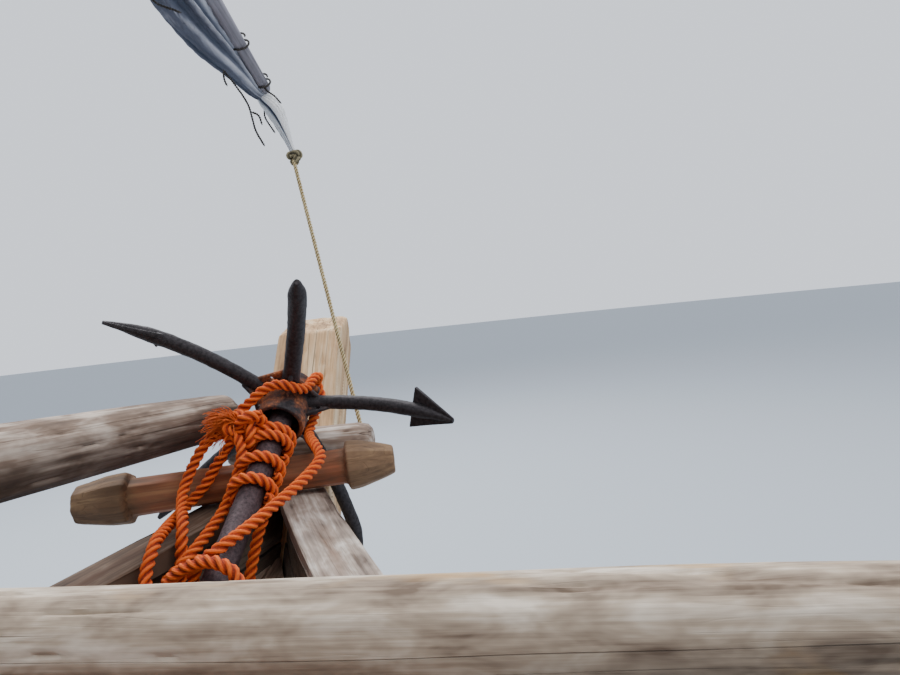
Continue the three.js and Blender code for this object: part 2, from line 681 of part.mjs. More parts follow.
// Shrouds, two on each side
const SHROUD_RADIUS = 10;
const SHROUD_TOP_Z = 4860;
const SHROUDS = [ // name, y at the rail, drop and way aft of the head, height of the foot over the rail
  ['fore', 1060, 0, 0, 3.6],
  ['aft', 420, 90, 22, 4.6],
];
for (const [name, y, drop, back, seated] of SHROUDS) {
  const s = steps(0, 1, 400).find((t) => railSeat(t).y > y);
  const seat = railSeat(s);
  const foot = V(seat.x - 18, y, seat.z + GAP + RAIL_HEIGHT + seated);
  const head = mastAt(SHROUD_TOP_Z - drop);
  head.x = 52 + SHROUD_RADIUS;
  head.y -= back;
  const length = head.distanceTo(foot);
  const way = head.clone().sub(foot).normalize();
  const shroud = pole(foot, way, [[0, SHROUD_RADIUS], [length, SHROUD_RADIUS]], 8);
  add(`shroud_${name}_starboard`, shroud, 'rope');
  add(`shroud_${name}_port`, mirrored(shroud), 'rope');
}

// Tack line, from the sail's tack knot down to the bow log
const TACK_FOOT = V(156, 3936.6, 1238);
const TACK_RADIUS = 5.5;
const tackTop = TACK_KNOT.clone().add(TACK_FOOT.clone().sub(TACK_KNOT).normalize().multiplyScalar(24));
add('tack_line', ropeAlong([TACK_FOOT, tackTop], TACK_RADIUS, 8), 'rope');

// Carved octagonal crossbeam on the rails: [distance from the port end, radius]
const BEAM_STATIONS = [
  [0, 36], [40, 44], [60, 49], [96, 50], [102, 35], [300, 34], [496, 34],
  [501, 50], [526, 48], [566, 36], [592, 29],
];
const turned = (yaw, tilt) =>
  V(Math.cos(yaw) * Math.cos(tilt), Math.sin(yaw) * Math.cos(tilt), Math.sin(tilt));
const beamWay = turned(CROSSBEAM.yaw, CROSSBEAM.tilt);
const railTopNear = (y) => railSeat(steps(0, 1, 400).find((t) => railSeat(t).y > y)).z + GAP + RAIL_HEIGHT;
const beamCentre = V(...CROSSBEAM.centre, railTopNear(CROSSBEAM.centre[1]) + CROSSBEAM.shaft - 0.3);
const beamStart = beamCentre.clone().addScaledVector(beamWay, -296);
add('bow_crossbeam', pole(beamStart, beamWay, BEAM_STATIONS, 8), 'beam_wood');

// Bleached log across the stem's aft face
const bowLogZ = railTopNear(BOW_LOG.y) + BOW_LOG.radius - 0.8;
const bowLogLength = BOW_LOG.starboard - BOW_LOG.port;
add('bow_log', pole(V(BOW_LOG.port, BOW_LOG.y, bowLogZ), V(1, 0, 0), [
  [0, 26], [10, 35], [30, BOW_LOG.radius],
  [bowLogLength - 30, BOW_LOG.radius], [bowLogLength - 8, 32], [bowLogLength, 22],
], 14), 'bleached_wood');

// Heavy log across both rails
const logWay = turned(CROSS_LOG.yaw, CROSS_LOG.tilt);
const logZ = railTopNear(CROSS_LOG.y) + CROSS_LOG.radius - 1.5;
const logStart = V(0, CROSS_LOG.y, logZ).addScaledVector(logWay, CROSS_LOG.port);
add('cross_log', pole(logStart, logWay, [
  [0, 50], [14, 57], [400, CROSS_LOG.radius], [1000, CROSS_LOG.radius - 2],
  [CROSS_LOG.starboard - CROSS_LOG.port - 14, 56], [CROSS_LOG.starboard - CROSS_LOG.port, 50],
], 20), 'bleached_wood');

// Grapnel
const across = V().crossVectors(ANCHOR_AXIS, V(0, 0, 1)).normalize();
const outward = V().crossVectors(across, ANCHOR_AXIS);
const CROWN = { outer: 46, inner: 37, mouth: -62, floor: 36, end: 50 };
const crown = new THREE.LatheGeometry([
  [0, CROWN.floor], [CROWN.inner, CROWN.floor], [CROWN.inner, CROWN.mouth],
  [CROWN.outer, CROWN.mouth], [CROWN.outer, CROWN.end], [0, CROWN.end],
].map(([r, a]) => new THREE.Vector2(r, a)), 20);
const alongAnchor = new THREE.Quaternion().setFromUnitVectors(V(0, 1, 0), ANCHOR_AXIS);
crown.applyQuaternion(alongAnchor).translate(ANCHOR_CROWN.x, ANCHOR_CROWN.y, ANCHOR_CROWN.z);
add('anchor_crown', crown, 'rusty_iron');
const shankStart = ANCHOR_CROWN.clone().addScaledVector(ANCHOR_AXIS, CROWN.floor - GAP);
add('anchor_shank', pole(shankStart, ANCHOR_AXIS.clone().negate(), [
  [0, SHANK_RADIUS], [SHANK_LENGTH - 24, SHANK_RADIUS], [SHANK_LENGTH - 20, SHANK_RADIUS + 7],
  [SHANK_LENGTH, SHANK_RADIUS + 7],
], 16), 'rusty_iron');

const ARMS = [ // name, fifth of a turn, degrees bent aside, radius, share of the reach, way the fluke is wide
  ['top', 0, 1.6, 16.5, 0.935, null],
  ['left', 1, -6.5, ARM_RADIUS, 1.03, 'along'],
  ['lower_left', 2, 3, ARM_RADIUS, 1.14, null],
  ['lower_right', 3, 1, ARM_RADIUS, 1.04, null],
  ['right', 4, 2, ARM_RADIUS, 0.965, 'around'],
];
const FLUKE = { length: 92, half: 41, thick: 9 };
function armCurve(fifth, aside, share) {
  const a = ARM_PHASE + (fifth * 2 * Math.PI) / 5 + aside * DEGREE;
  const way = across.clone().multiplyScalar(Math.cos(a)).addScaledVector(outward, Math.sin(a));
  const at = (r, back) => ANCHOR_CROWN.clone().addScaledVector(way, r).addScaledVector(ANCHOR_AXIS, back);
  const reach = ARM_REACH * share;
  const root = at(CROWN.outer + 3 * GAP, 0);
  const curve = new THREE.QuadraticBezierCurve3(root, at(reach * 0.62, 6), at(reach, -ARM_SWEEP * share));
  return { curve, way };
}
for (const [name, fifth, aside, radius, share, wide] of ARMS) {
  const { curve, way } = armCurve(fifth, aside, share);
  const taper = (t) => (wide ? radius : radius * Math.min(1, (1.03 - t) / 0.16) ** 0.7);
  let arm = bar(curve, taper, 10, 8);
  if (wide) {
    const tip = curve.getPoint(1);
    const ahead = curve.getTangent(1);
    const around = V().crossVectors(way, ANCHOR_AXIS).normalize();
    const side = wide === 'around' ? around : V().crossVectors(ahead, around).normalize();
    const outline = [[-FLUKE.half, 0], [FLUKE.half, 0], [6, FLUKE.length], [-6, FLUKE.length]];
    const shape = new THREE.Shape(outline.map(([x, y]) => new THREE.Vector2(x, y - FLUKE.length)));
    const plate = new THREE.ExtrudeGeometry(shape, { depth: FLUKE.thick, bevelEnabled: false });
    plate.translate(0, 0, -FLUKE.thick / 2);
    plate.applyMatrix4(new THREE.Matrix4().makeBasis(side, ahead, V().crossVectors(side, ahead)));
    plate.translate(tip.x, tip.y, tip.z);
    arm = join(arm, plate);
  }
  add(`anchor_arm_${name}`, arm, 'rusty_iron');
}

// Orange rope at the bow, free between where it is hitched and where it is coiled
const ROPE_RADIUS = 10.5;
// From the knot over the crown, down over the shank, round on the deck, over the shank again, aft to the coil
const CABLE = [
  [-37, 3698, 1347], [-6, 3700, 1368], [11, 3702, 1382], [30, 3706, 1392], [51, 3710, 1394],
  [68, 3714, 1388], [82, 3728, 1380], [91, 3753, 1379], [95, 3776, 1389], [99, 3795, 1394],
  [101, 3812, 1392], [94, 3829, 1386], [90, 3836, 1376], [94, 3839, 1361], [95, 3833, 1343],
  [92, 3823, 1333], [90, 3806, 1323], [86, 3785, 1308], [83, 3753, 1287], [110, 3685, 1277],
  [128, 3640, 1261], [110, 3580, 1239], [77, 3518, 1217], [44, 3463, 1198],
  [27, 3436, 1190], [8, 3420, 1180], [-17, 3422, 1165], [-36, 3420, 1110], [-38, 3400, 1064], [-40, 3350, 1032],
  [-62, 3308, 1027], [-98, 3298, 1026], [-124, 3325, 1029], [-128, 3368, 1034], [-112, 3398, 1056],
  [-92, 3412, 1100], [-67, 3420, 1139], [-43, 3408, 1159], [-17, 3400, 1172], [15, 3392, 1178], [38, 3387, 1171],
  [52, 3386, 1156], [67, 3382, 1100], [71, 3370, 1055], [66, 3330, 1030.5], [64, 3260, 1023.2],
  [90, 3160, 1014.6], [125, 3050, 1005.2], [147, 2950, 997], [152, 2859, 990],
];
// From the last hitch down, up to the knot, round it, down again in a hanging bight, and back to it
const BIGHTS = [
  [51.4, 3576, 1213.4], [39.7, 3579.9, 1190.3], [27, 3568, 1157], [14, 3534, 1089],
  [16, 3508, 1060], [-2, 3476, 1042],
  [-40, 3455, 1039.2], [-78, 3450, 1041], [-101, 3453, 1057], [-107, 3460, 1085], [-90, 3465, 1125],
  [-71, 3480, 1143], [-35, 3568, 1194], [-20, 3605, 1235], [-10, 3629, 1276], [-12, 3641, 1297],
  [-24, 3652, 1313], [-50, 3657, 1319], [-77, 3652, 1308], [-100, 3639, 1274],
  [-114, 3615, 1233], [-106, 3583, 1211], [-86, 3535, 1194], [-82, 3515, 1169], [-89, 3511, 1110],
  [-83, 3499, 1088], [-81, 3472, 1078], [-88, 3445, 1089], [-98, 3434, 1113], [-106, 3434, 1141],
  [-107, 3476, 1182], [-115, 3525, 1188], [-122, 3620, 1196], [-113, 3642, 1207], [-86, 3650, 1235],
  [-65, 3655, 1266], [-46, 3655, 1286],
];
const COIL = { x: 5, y: 2760, radius: 147, columns: 2, layers: 3 };
const ropeThrough = (points) => ropeAlong(points.map((p) => V(...p)), ROPE_RADIUS, 8);
add('anchor_rope', ropeThrough(CABLE), 'orange_rope');
add('anchor_bights', ropeThrough(BIGHTS), 'orange_rope');

function coil() {
  const half = COIL.columns * ROPE_RADIUS;
  const high = COIL.layers * 2 * ROPE_RADIUS;
  const round = 0.6 * ROPE_RADIUS;
  const ring = new THREE.LatheGeometry([
    [-half + round, 0], [half - round, 0], [half, round], [half, high - round],
    [half - round, high], [-half + round, high], [-half, high - round], [-half, round], [-half + round, 0],
  ].map(([r, z]) => new THREE.Vector2(COIL.radius + r, z)), 28);
  ring.rotateX(Math.PI / 2);
  const deckTop = (y) => levelAt(shelfTop, y) + GAP + DECK_BOARD;
  const reach = COIL.radius + half;
  const [aft, fore] = [COIL.y - reach, COIL.y + reach].map((y) => deckTop(y));
  ring.rotateX(Math.atan2(fore - aft, 2 * reach));
  return ring.translate(COIL.x, COIL.y, (aft + fore) / 2 + 2 * GAP);
}
add('anchor_rope_coil', coil(), 'orange_rope');

// Spar stowed along the port bow
const SPAR = { start: V(-109, 3842, 1329.1), end: V(-971.5, 950, 1480), thin: 42, thick: 57 };
const sparWay = SPAR.end.clone().sub(SPAR.start);
const sparLength = sparWay.length();
add('stowed_spar', pole(SPAR.start, sparWay.normalize(), [
  [0, SPAR.thin - 6], [10, SPAR.thin], [520, 52], [sparLength - 12, SPAR.thick], [sparLength, SPAR.thick - 8],
], 16), 'dark_wood');

// Rudder, hung on the sternpost by gudgeons and pintles
const AXIS_A = POST_BACK + 26;
const rakedPoint = (a, h, x = 0) => V(x, ...raked(a, h));
const BLADE_HALF = 22;
const blade = slab([
  raked(AXIS_A + 12, -70), raked(AXIS_A + 330, -40), raked(AXIS_A + 400, 60), raked(AXIS_A + 390, 420),
  raked(AXIS_A + 250, 760), raked(AXIS_A + 120, 1000), raked(AXIS_A + 104, 1890),
  raked(AXIS_A + 12, 1890),
], BLADE_HALF);
const postWay = POST_UP.clone();
const HANGERS = [['lower', 190], ['upper', 1290]]; // name, height along the post
const EYE = { outer: 24, bore: 11, tall: 44 };
const PIN_RADIUS = 10;
function rakedBox(a, h, half) {
  return slab([raked(a[0], h[0]), raked(a[1], h[0]), raked(a[1], h[1]), raked(a[0], h[1])], half);
}
let bladeCut = blade;
const TILLER_H = 1790;
for (const [name, h] of HANGERS) {
  const eye = pole(rakedPoint(AXIS_A, h), postWay, [[0, EYE.outer], [EYE.tall, EYE.outer]], 16);
  const bore = pole(rakedPoint(AXIS_A, h - 5), postWay, [[0, EYE.bore], [EYE.tall + 10, EYE.bore]], 14);
  const strap = rakedBox([POST_BACK - 60, POST_BACK + 12], [h, h + EYE.tall], 54);
  const post = rakedBox([POST_BACK - 70, POST_BACK + GAP], [h - 10, h + EYE.tall + 10], 46 + GAP);
  add(`gudgeon_${name}`, cut(join(strap, eye), post, bore), 'rusty_iron');
  const web = rakedBox([AXIS_A - 2, AXIS_A + 130], [h + EYE.tall + GAP, h + EYE.tall + 40], BLADE_HALF + 8);
  const seat = rakedBox([AXIS_A + 12 - GAP, AXIS_A + 200], [h, h + 200], BLADE_HALF + GAP);
  const pin = pole(rakedPoint(AXIS_A, h - 12), postWay, [[0, PIN_RADIUS], [EYE.tall + 24, PIN_RADIUS]], 12);
  add(`pintle_${name}`, join(cut(web, seat), pin), 'rusty_iron');
  const relief = rakedBox([AXIS_A, AXIS_A + 34], [h - 18, h + EYE.tall + 2], BLADE_HALF + 5);
  bladeCut = cut(bladeCut, relief);
}
const tillerStart = rakedPoint(AXIS_A + 84, TILLER_H);
const tillerWay = V(0, 1, 0.06).normalize();
const TILLER_LENGTH = 1250;
const holeStart = tillerStart.clone().addScaledVector(tillerWay, -120);
const tillerHole = pole(holeStart, tillerWay, [[0, 19 + GAP], [400, 19 + GAP]], 12);
add('rudder_blade', cut(bladeCut, tillerHole), 'hull_wood');
add('tiller', pole(tillerStart.clone().addScaledVector(tillerWay, -90), tillerWay, [
  [0, 19], [300, 19], [TILLER_LENGTH - 200, 22], [TILLER_LENGTH, 17],
], 12), 'dark_wood');

export default group;
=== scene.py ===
# %% [markdown]
# A lateen-rigged wooden dhow
#
# The boat is about nine metres long, planked on sawn frames, with a long raked stem, a transom
# stern and a short mast that leans forward. Its yard is lowered part-way and its sail is furled.
# At the bow lies a five-armed iron grapnel, hitched with orange laid rope.
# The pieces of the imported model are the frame. New pieces stand in for most of them, each
# modelled with Blender's own operators, and each material is made of nodes.

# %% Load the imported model
import json
import math
import random

import bmesh
import bpy
import numpy
from mathutils import Matrix, Vector, noise

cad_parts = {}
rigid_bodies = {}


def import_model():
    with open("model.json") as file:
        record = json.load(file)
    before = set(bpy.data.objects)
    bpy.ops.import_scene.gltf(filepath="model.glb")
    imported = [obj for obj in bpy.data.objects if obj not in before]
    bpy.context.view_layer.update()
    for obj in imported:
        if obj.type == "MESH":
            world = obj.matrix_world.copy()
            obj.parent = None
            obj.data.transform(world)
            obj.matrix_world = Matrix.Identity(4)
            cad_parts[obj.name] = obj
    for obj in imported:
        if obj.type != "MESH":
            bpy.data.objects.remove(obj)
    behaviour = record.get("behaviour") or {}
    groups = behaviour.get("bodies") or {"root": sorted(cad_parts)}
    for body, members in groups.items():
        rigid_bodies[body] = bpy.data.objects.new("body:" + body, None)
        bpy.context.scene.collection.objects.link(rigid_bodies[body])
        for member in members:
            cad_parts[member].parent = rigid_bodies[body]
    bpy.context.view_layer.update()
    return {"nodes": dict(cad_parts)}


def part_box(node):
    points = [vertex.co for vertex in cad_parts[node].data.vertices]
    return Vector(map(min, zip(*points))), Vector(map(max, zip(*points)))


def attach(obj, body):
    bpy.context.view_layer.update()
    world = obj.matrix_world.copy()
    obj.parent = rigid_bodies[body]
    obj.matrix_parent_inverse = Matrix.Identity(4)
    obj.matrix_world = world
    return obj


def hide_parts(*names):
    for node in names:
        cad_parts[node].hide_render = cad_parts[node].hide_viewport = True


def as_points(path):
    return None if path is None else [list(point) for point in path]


bpy.ops.object.select_all(action="SELECT")
bpy.ops.object.delete()
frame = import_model()
nodes = frame["nodes"]
X, Y, Z = Vector((1, 0, 0)), Vector((0, 1, 0)), Vector((0, 0, 1))
print("loaded", len(nodes), "nodes")

# %% [markdown]
# The camera
#
# The camera stood amidships at a seated height and looked forward over the port bow.
# The horizon leans by six degrees, because the boat heels and the camera is held by hand.

# %% Camera
EYE = Vector((0.430, 2.449, 1.505))
ROLL, PITCH, YAW = math.radians(6.0), math.radians(2.75), math.radians(2.0)
FOCAL_PIXELS, FRAME_PIXELS, SENSOR_MM = 676.0, 900.0, 36.0


def look_axes():
    right = Vector((math.cos(ROLL), 0, -math.sin(ROLL)))
    up = Vector((math.sin(ROLL), 0, math.cos(ROLL)))
    ahead = Y * math.cos(YAW) - right * math.sin(YAW)
    right = right * math.cos(YAW) + Y * math.sin(YAW)
    tipped = ahead * math.cos(PITCH) - up * math.sin(PITCH)
    up = up * math.cos(PITCH) + ahead * math.sin(PITCH)
    return right, up, tipped


right, up, ahead = look_axes()
bpy.ops.object.camera_add(location=EYE)
camera = bpy.context.active_object
camera.name = "Camera"
turn = Matrix((right, up, -ahead)).transposed().to_4x4()
camera.matrix_world = Matrix.Translation(EYE) @ turn
camera.data.lens = FOCAL_PIXELS / FRAME_PIXELS * SENSOR_MM
camera.data.clip_start = 0.05
camera.data.clip_end = 200
bpy.context.scene.camera = camera
print("camera lens", round(camera.data.lens, 2), "mm")

# %% [markdown]
# Working habits
#
# An operator acts on all that is selected, so each step starts with nothing selected but its own
# piece. Faces are picked in code by their place or normal. A finished piece has its place in its
# mesh, with its object at the origin, so that patterns on Object coordinates stay in scale.

# %% Helpers for selecting and finishing
PIECES = {}


def out_of_edit():
    bpy.ops.object.mode_set(mode="OBJECT")


def nothing_selected():
    if bpy.context.mode != "OBJECT":
        out_of_edit()
    bpy.ops.object.select_all(action="DESELECT")


def only(piece):
    """Selects one piece and nothing else."""
    nothing_selected()
    piece.select_set(True)
    bpy.context.view_layer.objects.active = piece
    return piece


def in_edit(piece, select="NONE"):
    """Opens a piece for editing with all or none of it selected."""
    only(piece)
    bpy.ops.object.mode_set(mode="EDIT")
    bpy.ops.mesh.select_mode(type="FACE")
    bpy.ops.mesh.select_all(action="SELECT" if select == "ALL" else "DESELECT")
    return bmesh.from_edit_mesh(piece.data)


def pick(shape, test):
    """Selects the faces that pass a test, and deselects the rest."""
    for face in shape.faces:
        face.select_set(bool(test(face)))


def settle(piece):
    """Moves a piece's place into its mesh."""
    only(piece)
    bpy.ops.object.transform_apply(location=True, rotation=True, scale=True)
    return piece


def modify(piece, kind, **settings):
    """Adds a modifier and applies it."""
    only(piece)
    modifier = piece.modifiers.new(kind.title(), kind)
    for name, value in settings.items():
        setattr(modifier, name, value)
    bpy.ops.object.modifier_apply(modifier=modifier.name)
    return piece


def ease_edges(piece, width, degrees, segments=2):
    """Bevels the edges that turn by more than an angle."""
    return modify(piece, "BEVEL", width=width, segments=segments, limit_method="ANGLE",
                  angle_limit=math.radians(degrees))


def cut_away(piece, tool):
    """Takes the room of a tool out of a piece, and deletes the tool."""
    modify(piece, "BOOLEAN", operation="DIFFERENCE", object=tool, solver="EXACT")
    bpy.data.objects.remove(tool)


def smooth(piece, degrees):
    only(piece)
    bpy.ops.object.shade_smooth_by_angle(angle=math.radians(degrees))
    return piece


def fuse(name, parts):
    """Joins parts into one piece."""
    only(parts[0])
    for part in parts[1:]:
        part.select_set(True)
    if len(parts) > 1:
        bpy.ops.object.join()
    parts[0].name = parts[0].data.name = name
    return parts[0]


def finish_piece(piece, name, body, material, slot, *stands_for):
    """Names a piece, gives it its finish and says what it rides on and replaces."""
    piece.name = piece.data.name = name
    piece.data.materials.clear()
    piece.data.materials.append(material)
    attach(piece, body)
    if stands_for:
        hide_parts(*stands_for)
    PIECES[name] = piece
    return piece


def recalculate(piece):
    """Merges doubles and turns all faces outwards."""
    in_edit(piece, "ALL")
    bpy.ops.mesh.remove_doubles(threshold=0.00002)
    bpy.ops.mesh.normals_make_consistent(inside=False)
    out_of_edit()
    return piece

# %% [markdown]
# Shapes built ring by ring
#
# A rope or a bundle of cloth is a row of rings joined by faces. A short function joins them, another
# makes the shape a piece, and two more say where a ring's points go and how a piece is turned.

# %% Helpers for rings, places and patterns


def spoke(across, other, angle):
    """The direction at an angle between two square ones."""
    return across * math.cos(angle) + other * math.sin(angle)


def turned_to(place, *axes):
    """The matrix that puts a piece at a place with its own axes along three directions."""
    return Matrix.Translation(place) @ Matrix(axes).transposed().to_4x4()


def skin(shape, rings):
    """Joins rings of points to a closed tube."""
    for first, second in zip(rings, rings[1:]):
        for side in range(len(first)):
            after = (side + 1) % len(first)
            shape.faces.new((first[side], first[after], second[after], second[side]))
    shape.faces.new(reversed(rings[0]))
    shape.faces.new(rings[-1])


def mesh_piece(name, shape):
    """Makes a piece of a shape."""
    mesh = bpy.data.meshes.new(name)
    shape.to_mesh(mesh)
    shape.free()
    piece = bpy.data.objects.new(name, mesh)
    bpy.context.scene.collection.objects.link(piece)
    return piece


def store_grain(piece, values):
    """Keeps a vector at each vertex, for patterns that follow the piece."""
    kept = piece.data.attributes
    layer = kept.get("grain") or kept.new("grain", "FLOAT_VECTOR", "POINT")
    layer.data.foreach_set("vector", [number for value in values for number in value])
    return piece

# %% [markdown]
# The laid rope
#
# The anchor is hitched with three-strand laid rope, twenty-one millimetres thick and quite limp.
# A round tube with a bump would look like a hose from close by, so the three strands are real:
# the section has three lobes, and it turns once in a little over two diameters.
# A smooth curve first joins the few points that say where the rope goes.

# %% A smooth route and a laid rope along it
ROPE_RADIUS = 0.0105
STRAND_RADIUS, STRAND_PLACE, VALLEY = 0.464, 0.536, 0.62


def through(points, spacing=0.005):
    """Points close together on a smooth curve through a few points."""
    points = [Vector(p) for p in points]
    ends = [2 * points[0] - points[1], *points, 2 * points[-1] - points[-2]]
    route = [points[0]]
    for before, start, end, after in zip(ends, ends[1:], ends[2:], ends[3:]):
        reach = (end - start).length / 3
        first = start + (end - before).normalized() * reach
        second = end - (after - start).normalized() * reach
        count = max(2, round(3 * reach / spacing))
        for step in range(1, count + 1):
            t = step / count
            k = 1 - t
            near, far = k ** 3 * start + 3 * k * k * t * first, 3 * k * t * t * second
            route.append(near + far + t ** 3 * end)
    return route


def route_length(route):
    return sum((b - a).length for a, b in zip(route, route[1:]))


def lobe(angle):
    """Reach of a three-strand section at an angle, as a share of the rope's radius."""
    off = (angle + math.pi / 3) % (2 * math.pi / 3) - math.pi / 3
    inner = STRAND_RADIUS ** 2 - (STRAND_PLACE * math.sin(off)) ** 2
    return max(STRAND_PLACE * math.cos(off) + math.sqrt(max(inner, 0)), VALLEY)


def laid_rope(name, route, radius, sides=24, pitch=4.4):
    """A laid rope along a route. Its grain is the way along and round, and the strand's height."""
    shape = bmesh.new()
    grain = []
    across = Vector((0.3, 0.2, 1))
    run = 0.0
    rings = []
    total = route_length(route)
    for index, point in enumerate(route):
        before, after = route[max(index - 1, 0)], route[min(index + 1, len(route) - 1)]
        way = (after - before).normalized()
        across = (across - way * across.dot(way)).normalized()
        other = way.cross(across)
        run += (point - before).length
        lay = 2 * math.pi * run / (pitch * radius)
        near = min(run, total - run) / (1.5 * radius)
        size = radius * (min(1, 0.55 + 0.45 * math.sqrt(min(near, 1))) if near < 1 else 1)
        ring = []
        for side in range(sides):
            angle = 2 * math.pi * (side + 0.5 * sides / 3) / sides
            reach = lobe(angle)
            ring.append(shape.verts.new(point + spoke(across, other, angle + lay) * reach * size))
            grain.append((run, angle * radius, reach))
        rings.append(ring)
    skin(shape, rings)
    piece = store_grain(mesh_piece(name, shape), grain)
    return smooth(piece, 60)

# %% [markdown]
# Where the anchor rope goes
#
# One end is knotted behind the anchor's crown. From there the rope goes over the crown, twice round
# the shank in loose bights that lie on the deck, and aft under the heavy log, where the rest of
# its seven metres is coiled. A second run hangs from the last hitch in two bights and ends in the knot.
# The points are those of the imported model, in metres. The coil is two turns wide and three high.

# %% Routes of the anchor rope
CABLE = [
    (-0.037, 3.698, 1.347), (-0.006, 3.7, 1.368), (0.011, 3.702, 1.382), (0.03, 3.706, 1.392),
    (0.051, 3.71, 1.394), (0.068, 3.714, 1.388), (0.082, 3.728, 1.38), (0.091, 3.753, 1.379),
    (0.095, 3.776, 1.389), (0.099, 3.795, 1.394), (0.101, 3.812, 1.392), (0.094, 3.829, 1.386),
    (0.09, 3.836, 1.376), (0.094, 3.839, 1.361), (0.095, 3.833, 1.343), (0.092, 3.823, 1.333),
    (0.09, 3.806, 1.323), (0.086, 3.785, 1.308), (0.083, 3.753, 1.287), (0.11, 3.685, 1.277),
    (0.128, 3.64, 1.261), (0.11, 3.58, 1.239), (0.077, 3.518, 1.217), (0.044, 3.463, 1.198),
    (0.027, 3.436, 1.19), (0.008, 3.42, 1.18), (-0.017, 3.422, 1.165), (-0.036, 3.42, 1.11),
    (-0.038, 3.4, 1.064), (-0.04, 3.35, 1.032), (-0.062, 3.308, 1.027), (-0.098, 3.298, 1.026),
    (-0.124, 3.325, 1.029), (-0.128, 3.368, 1.034), (-0.112, 3.398, 1.056), (-0.092, 3.412, 1.1),
    (-0.067, 3.42, 1.139), (-0.043, 3.408, 1.159), (-0.017, 3.4, 1.172), (0.015, 3.392, 1.178),
    (0.038, 3.387, 1.171), (0.052, 3.386, 1.156), (0.067, 3.382, 1.1), (0.071, 3.37, 1.055),
    (0.066, 3.33, 1.0305), (0.064, 3.26, 1.0232), (0.09, 3.16, 1.0146), (0.125, 3.05, 1.0052),
    (0.147, 2.95, 0.997), (0.152, 2.859, 0.99),
]
BIGHTS = [
    (0.0514, 3.576, 1.2134), (0.0397, 3.5799, 1.1903), (0.027, 3.568, 1.157), (0.014, 3.534, 1.089),
    (0.016, 3.508, 1.06), (-0.002, 3.476, 1.042), (-0.04, 3.455, 1.0392), (-0.078, 3.45, 1.041),
    (-0.101, 3.453, 1.057), (-0.107, 3.46, 1.085), (-0.09, 3.465, 1.125), (-0.071, 3.48, 1.143),
    (-0.035, 3.568, 1.194), (-0.02, 3.605, 1.235), (-0.01, 3.629, 1.276), (-0.012, 3.641, 1.297),
    (-0.024, 3.652, 1.313), (-0.05, 3.657, 1.319), (-0.077, 3.652, 1.308), (-0.1, 3.639, 1.274),
    (-0.114, 3.615, 1.233), (-0.106, 3.583, 1.211), (-0.086, 3.535, 1.194), (-0.082, 3.515, 1.169),
    (-0.089, 3.511, 1.11), (-0.083, 3.499, 1.088), (-0.081, 3.472, 1.078), (-0.088, 3.445, 1.089),
    (-0.098, 3.434, 1.113), (-0.106, 3.434, 1.141), (-0.107, 3.476, 1.182), (-0.115, 3.525, 1.188),
    (-0.122, 3.62, 1.196), (-0.113, 3.642, 1.207), (-0.086, 3.65, 1.235), (-0.065, 3.655, 1.266),
    (-0.046, 3.655, 1.286),
]
COIL_CENTRE, COIL_RADIUS = Vector((0.005, 2.760, 0)), 0.147
COIL_FLOOR, DECK_SLOPE = 0.9719, 0.0763   # top of the deck under the coil's middle, and its rise forward
COIL_TURNS = [(1, 0), (-1, 0), (-1, 1), (1, 1), (1, 2), (-1, 2)]   # column and layer of each turn
COIL_START, TURN_STEP, SHIFT = math.radians(10), math.radians(324), math.radians(30)


def coil_point(angle):
    """A point of the coil, by how far round it is. Each turn shifts to its next place at its end."""
    turn = min(int(angle / TURN_STEP), len(COIL_TURNS) - 1)
    here, after = COIL_TURNS[turn], COIL_TURNS[min(turn + 1, len(COIL_TURNS) - 1)]
    share = min(max((angle - turn * TURN_STEP - (TURN_STEP - SHIFT)) / SHIFT, 0), 1)
    share = share * share * (3 - 2 * share)
    column = here[0] + (after[0] - here[0]) * share
    layer = here[1] + (after[1] - here[1]) * share
    radius = COIL_RADIUS + column * ROPE_RADIUS * 1.01
    turned = COIL_START - angle
    point = COIL_CENTRE + Vector((radius * math.cos(turned), radius * math.sin(turned), 0))
    rise = COIL_FLOOR + DECK_SLOPE * (point.y - COIL_CENTRE.y)
    point.z = rise + ROPE_RADIUS * (1.06 + 2.02 * layer)
    return point


coil_end = len(COIL_TURNS) * TURN_STEP
coil_route = [coil_point(coil_end * step / 130) for step in range(131)]
cable_route = through([*CABLE, *coil_route])
bights_route = through(BIGHTS)
print("cable", round(route_length(cable_route), 3), "m, bights", round(route_length(bights_route), 3), "m")

# %% [markdown]
# The hitches and the knot
#
# Three hitches grip the pipe shank, each a turn or two of the same rope drawn tight. They and the
# knot stay with the scene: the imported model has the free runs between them. The knot is a small
# trefoil of rope, because an overhand knot that is drawn up is just that.

# %% Turns round the shank and a knot
CROWN = Vector((0.042, 3.774, 1.349))
ANCHOR_WAY = Vector((0.082, 0.854, 0.513)).normalized()
ANCHOR_SIDE = ANCHOR_WAY.cross(Z).normalized()
ANCHOR_UP = ANCHOR_SIDE.cross(ANCHOR_WAY)
SHANK_RADIUS = 0.022
HITCHES = [   # distance down the shank, turns, rise along the shank, start angle in degrees
    (0.118, 2.25, 0.046, 250),
    (0.184, 1.30, 0.024, 250),
    (0.236, 1.35, 0.024, 240),
]
KNOT = Vector((-0.008, 3.658, 1.326))
KNOT_END = Vector((0.028, 3.652, 1.352))


def hitch_route(down, turns, rise, start):
    """Turns round the shank, which the rope touches."""
    points = []
    count = round(turns * 16)
    for step in range(count + 1):
        share = step / count
        angle = math.radians(start) + 2 * math.pi * turns * share
        reach = SHANK_RADIUS + ROPE_RADIUS + 0.0006
        centre = CROWN - ANCHOR_WAY * (down + rise * (share - 0.5))
        points.append(centre + spoke(ANCHOR_SIDE, ANCHOR_UP, angle) * reach)
    return through(points)


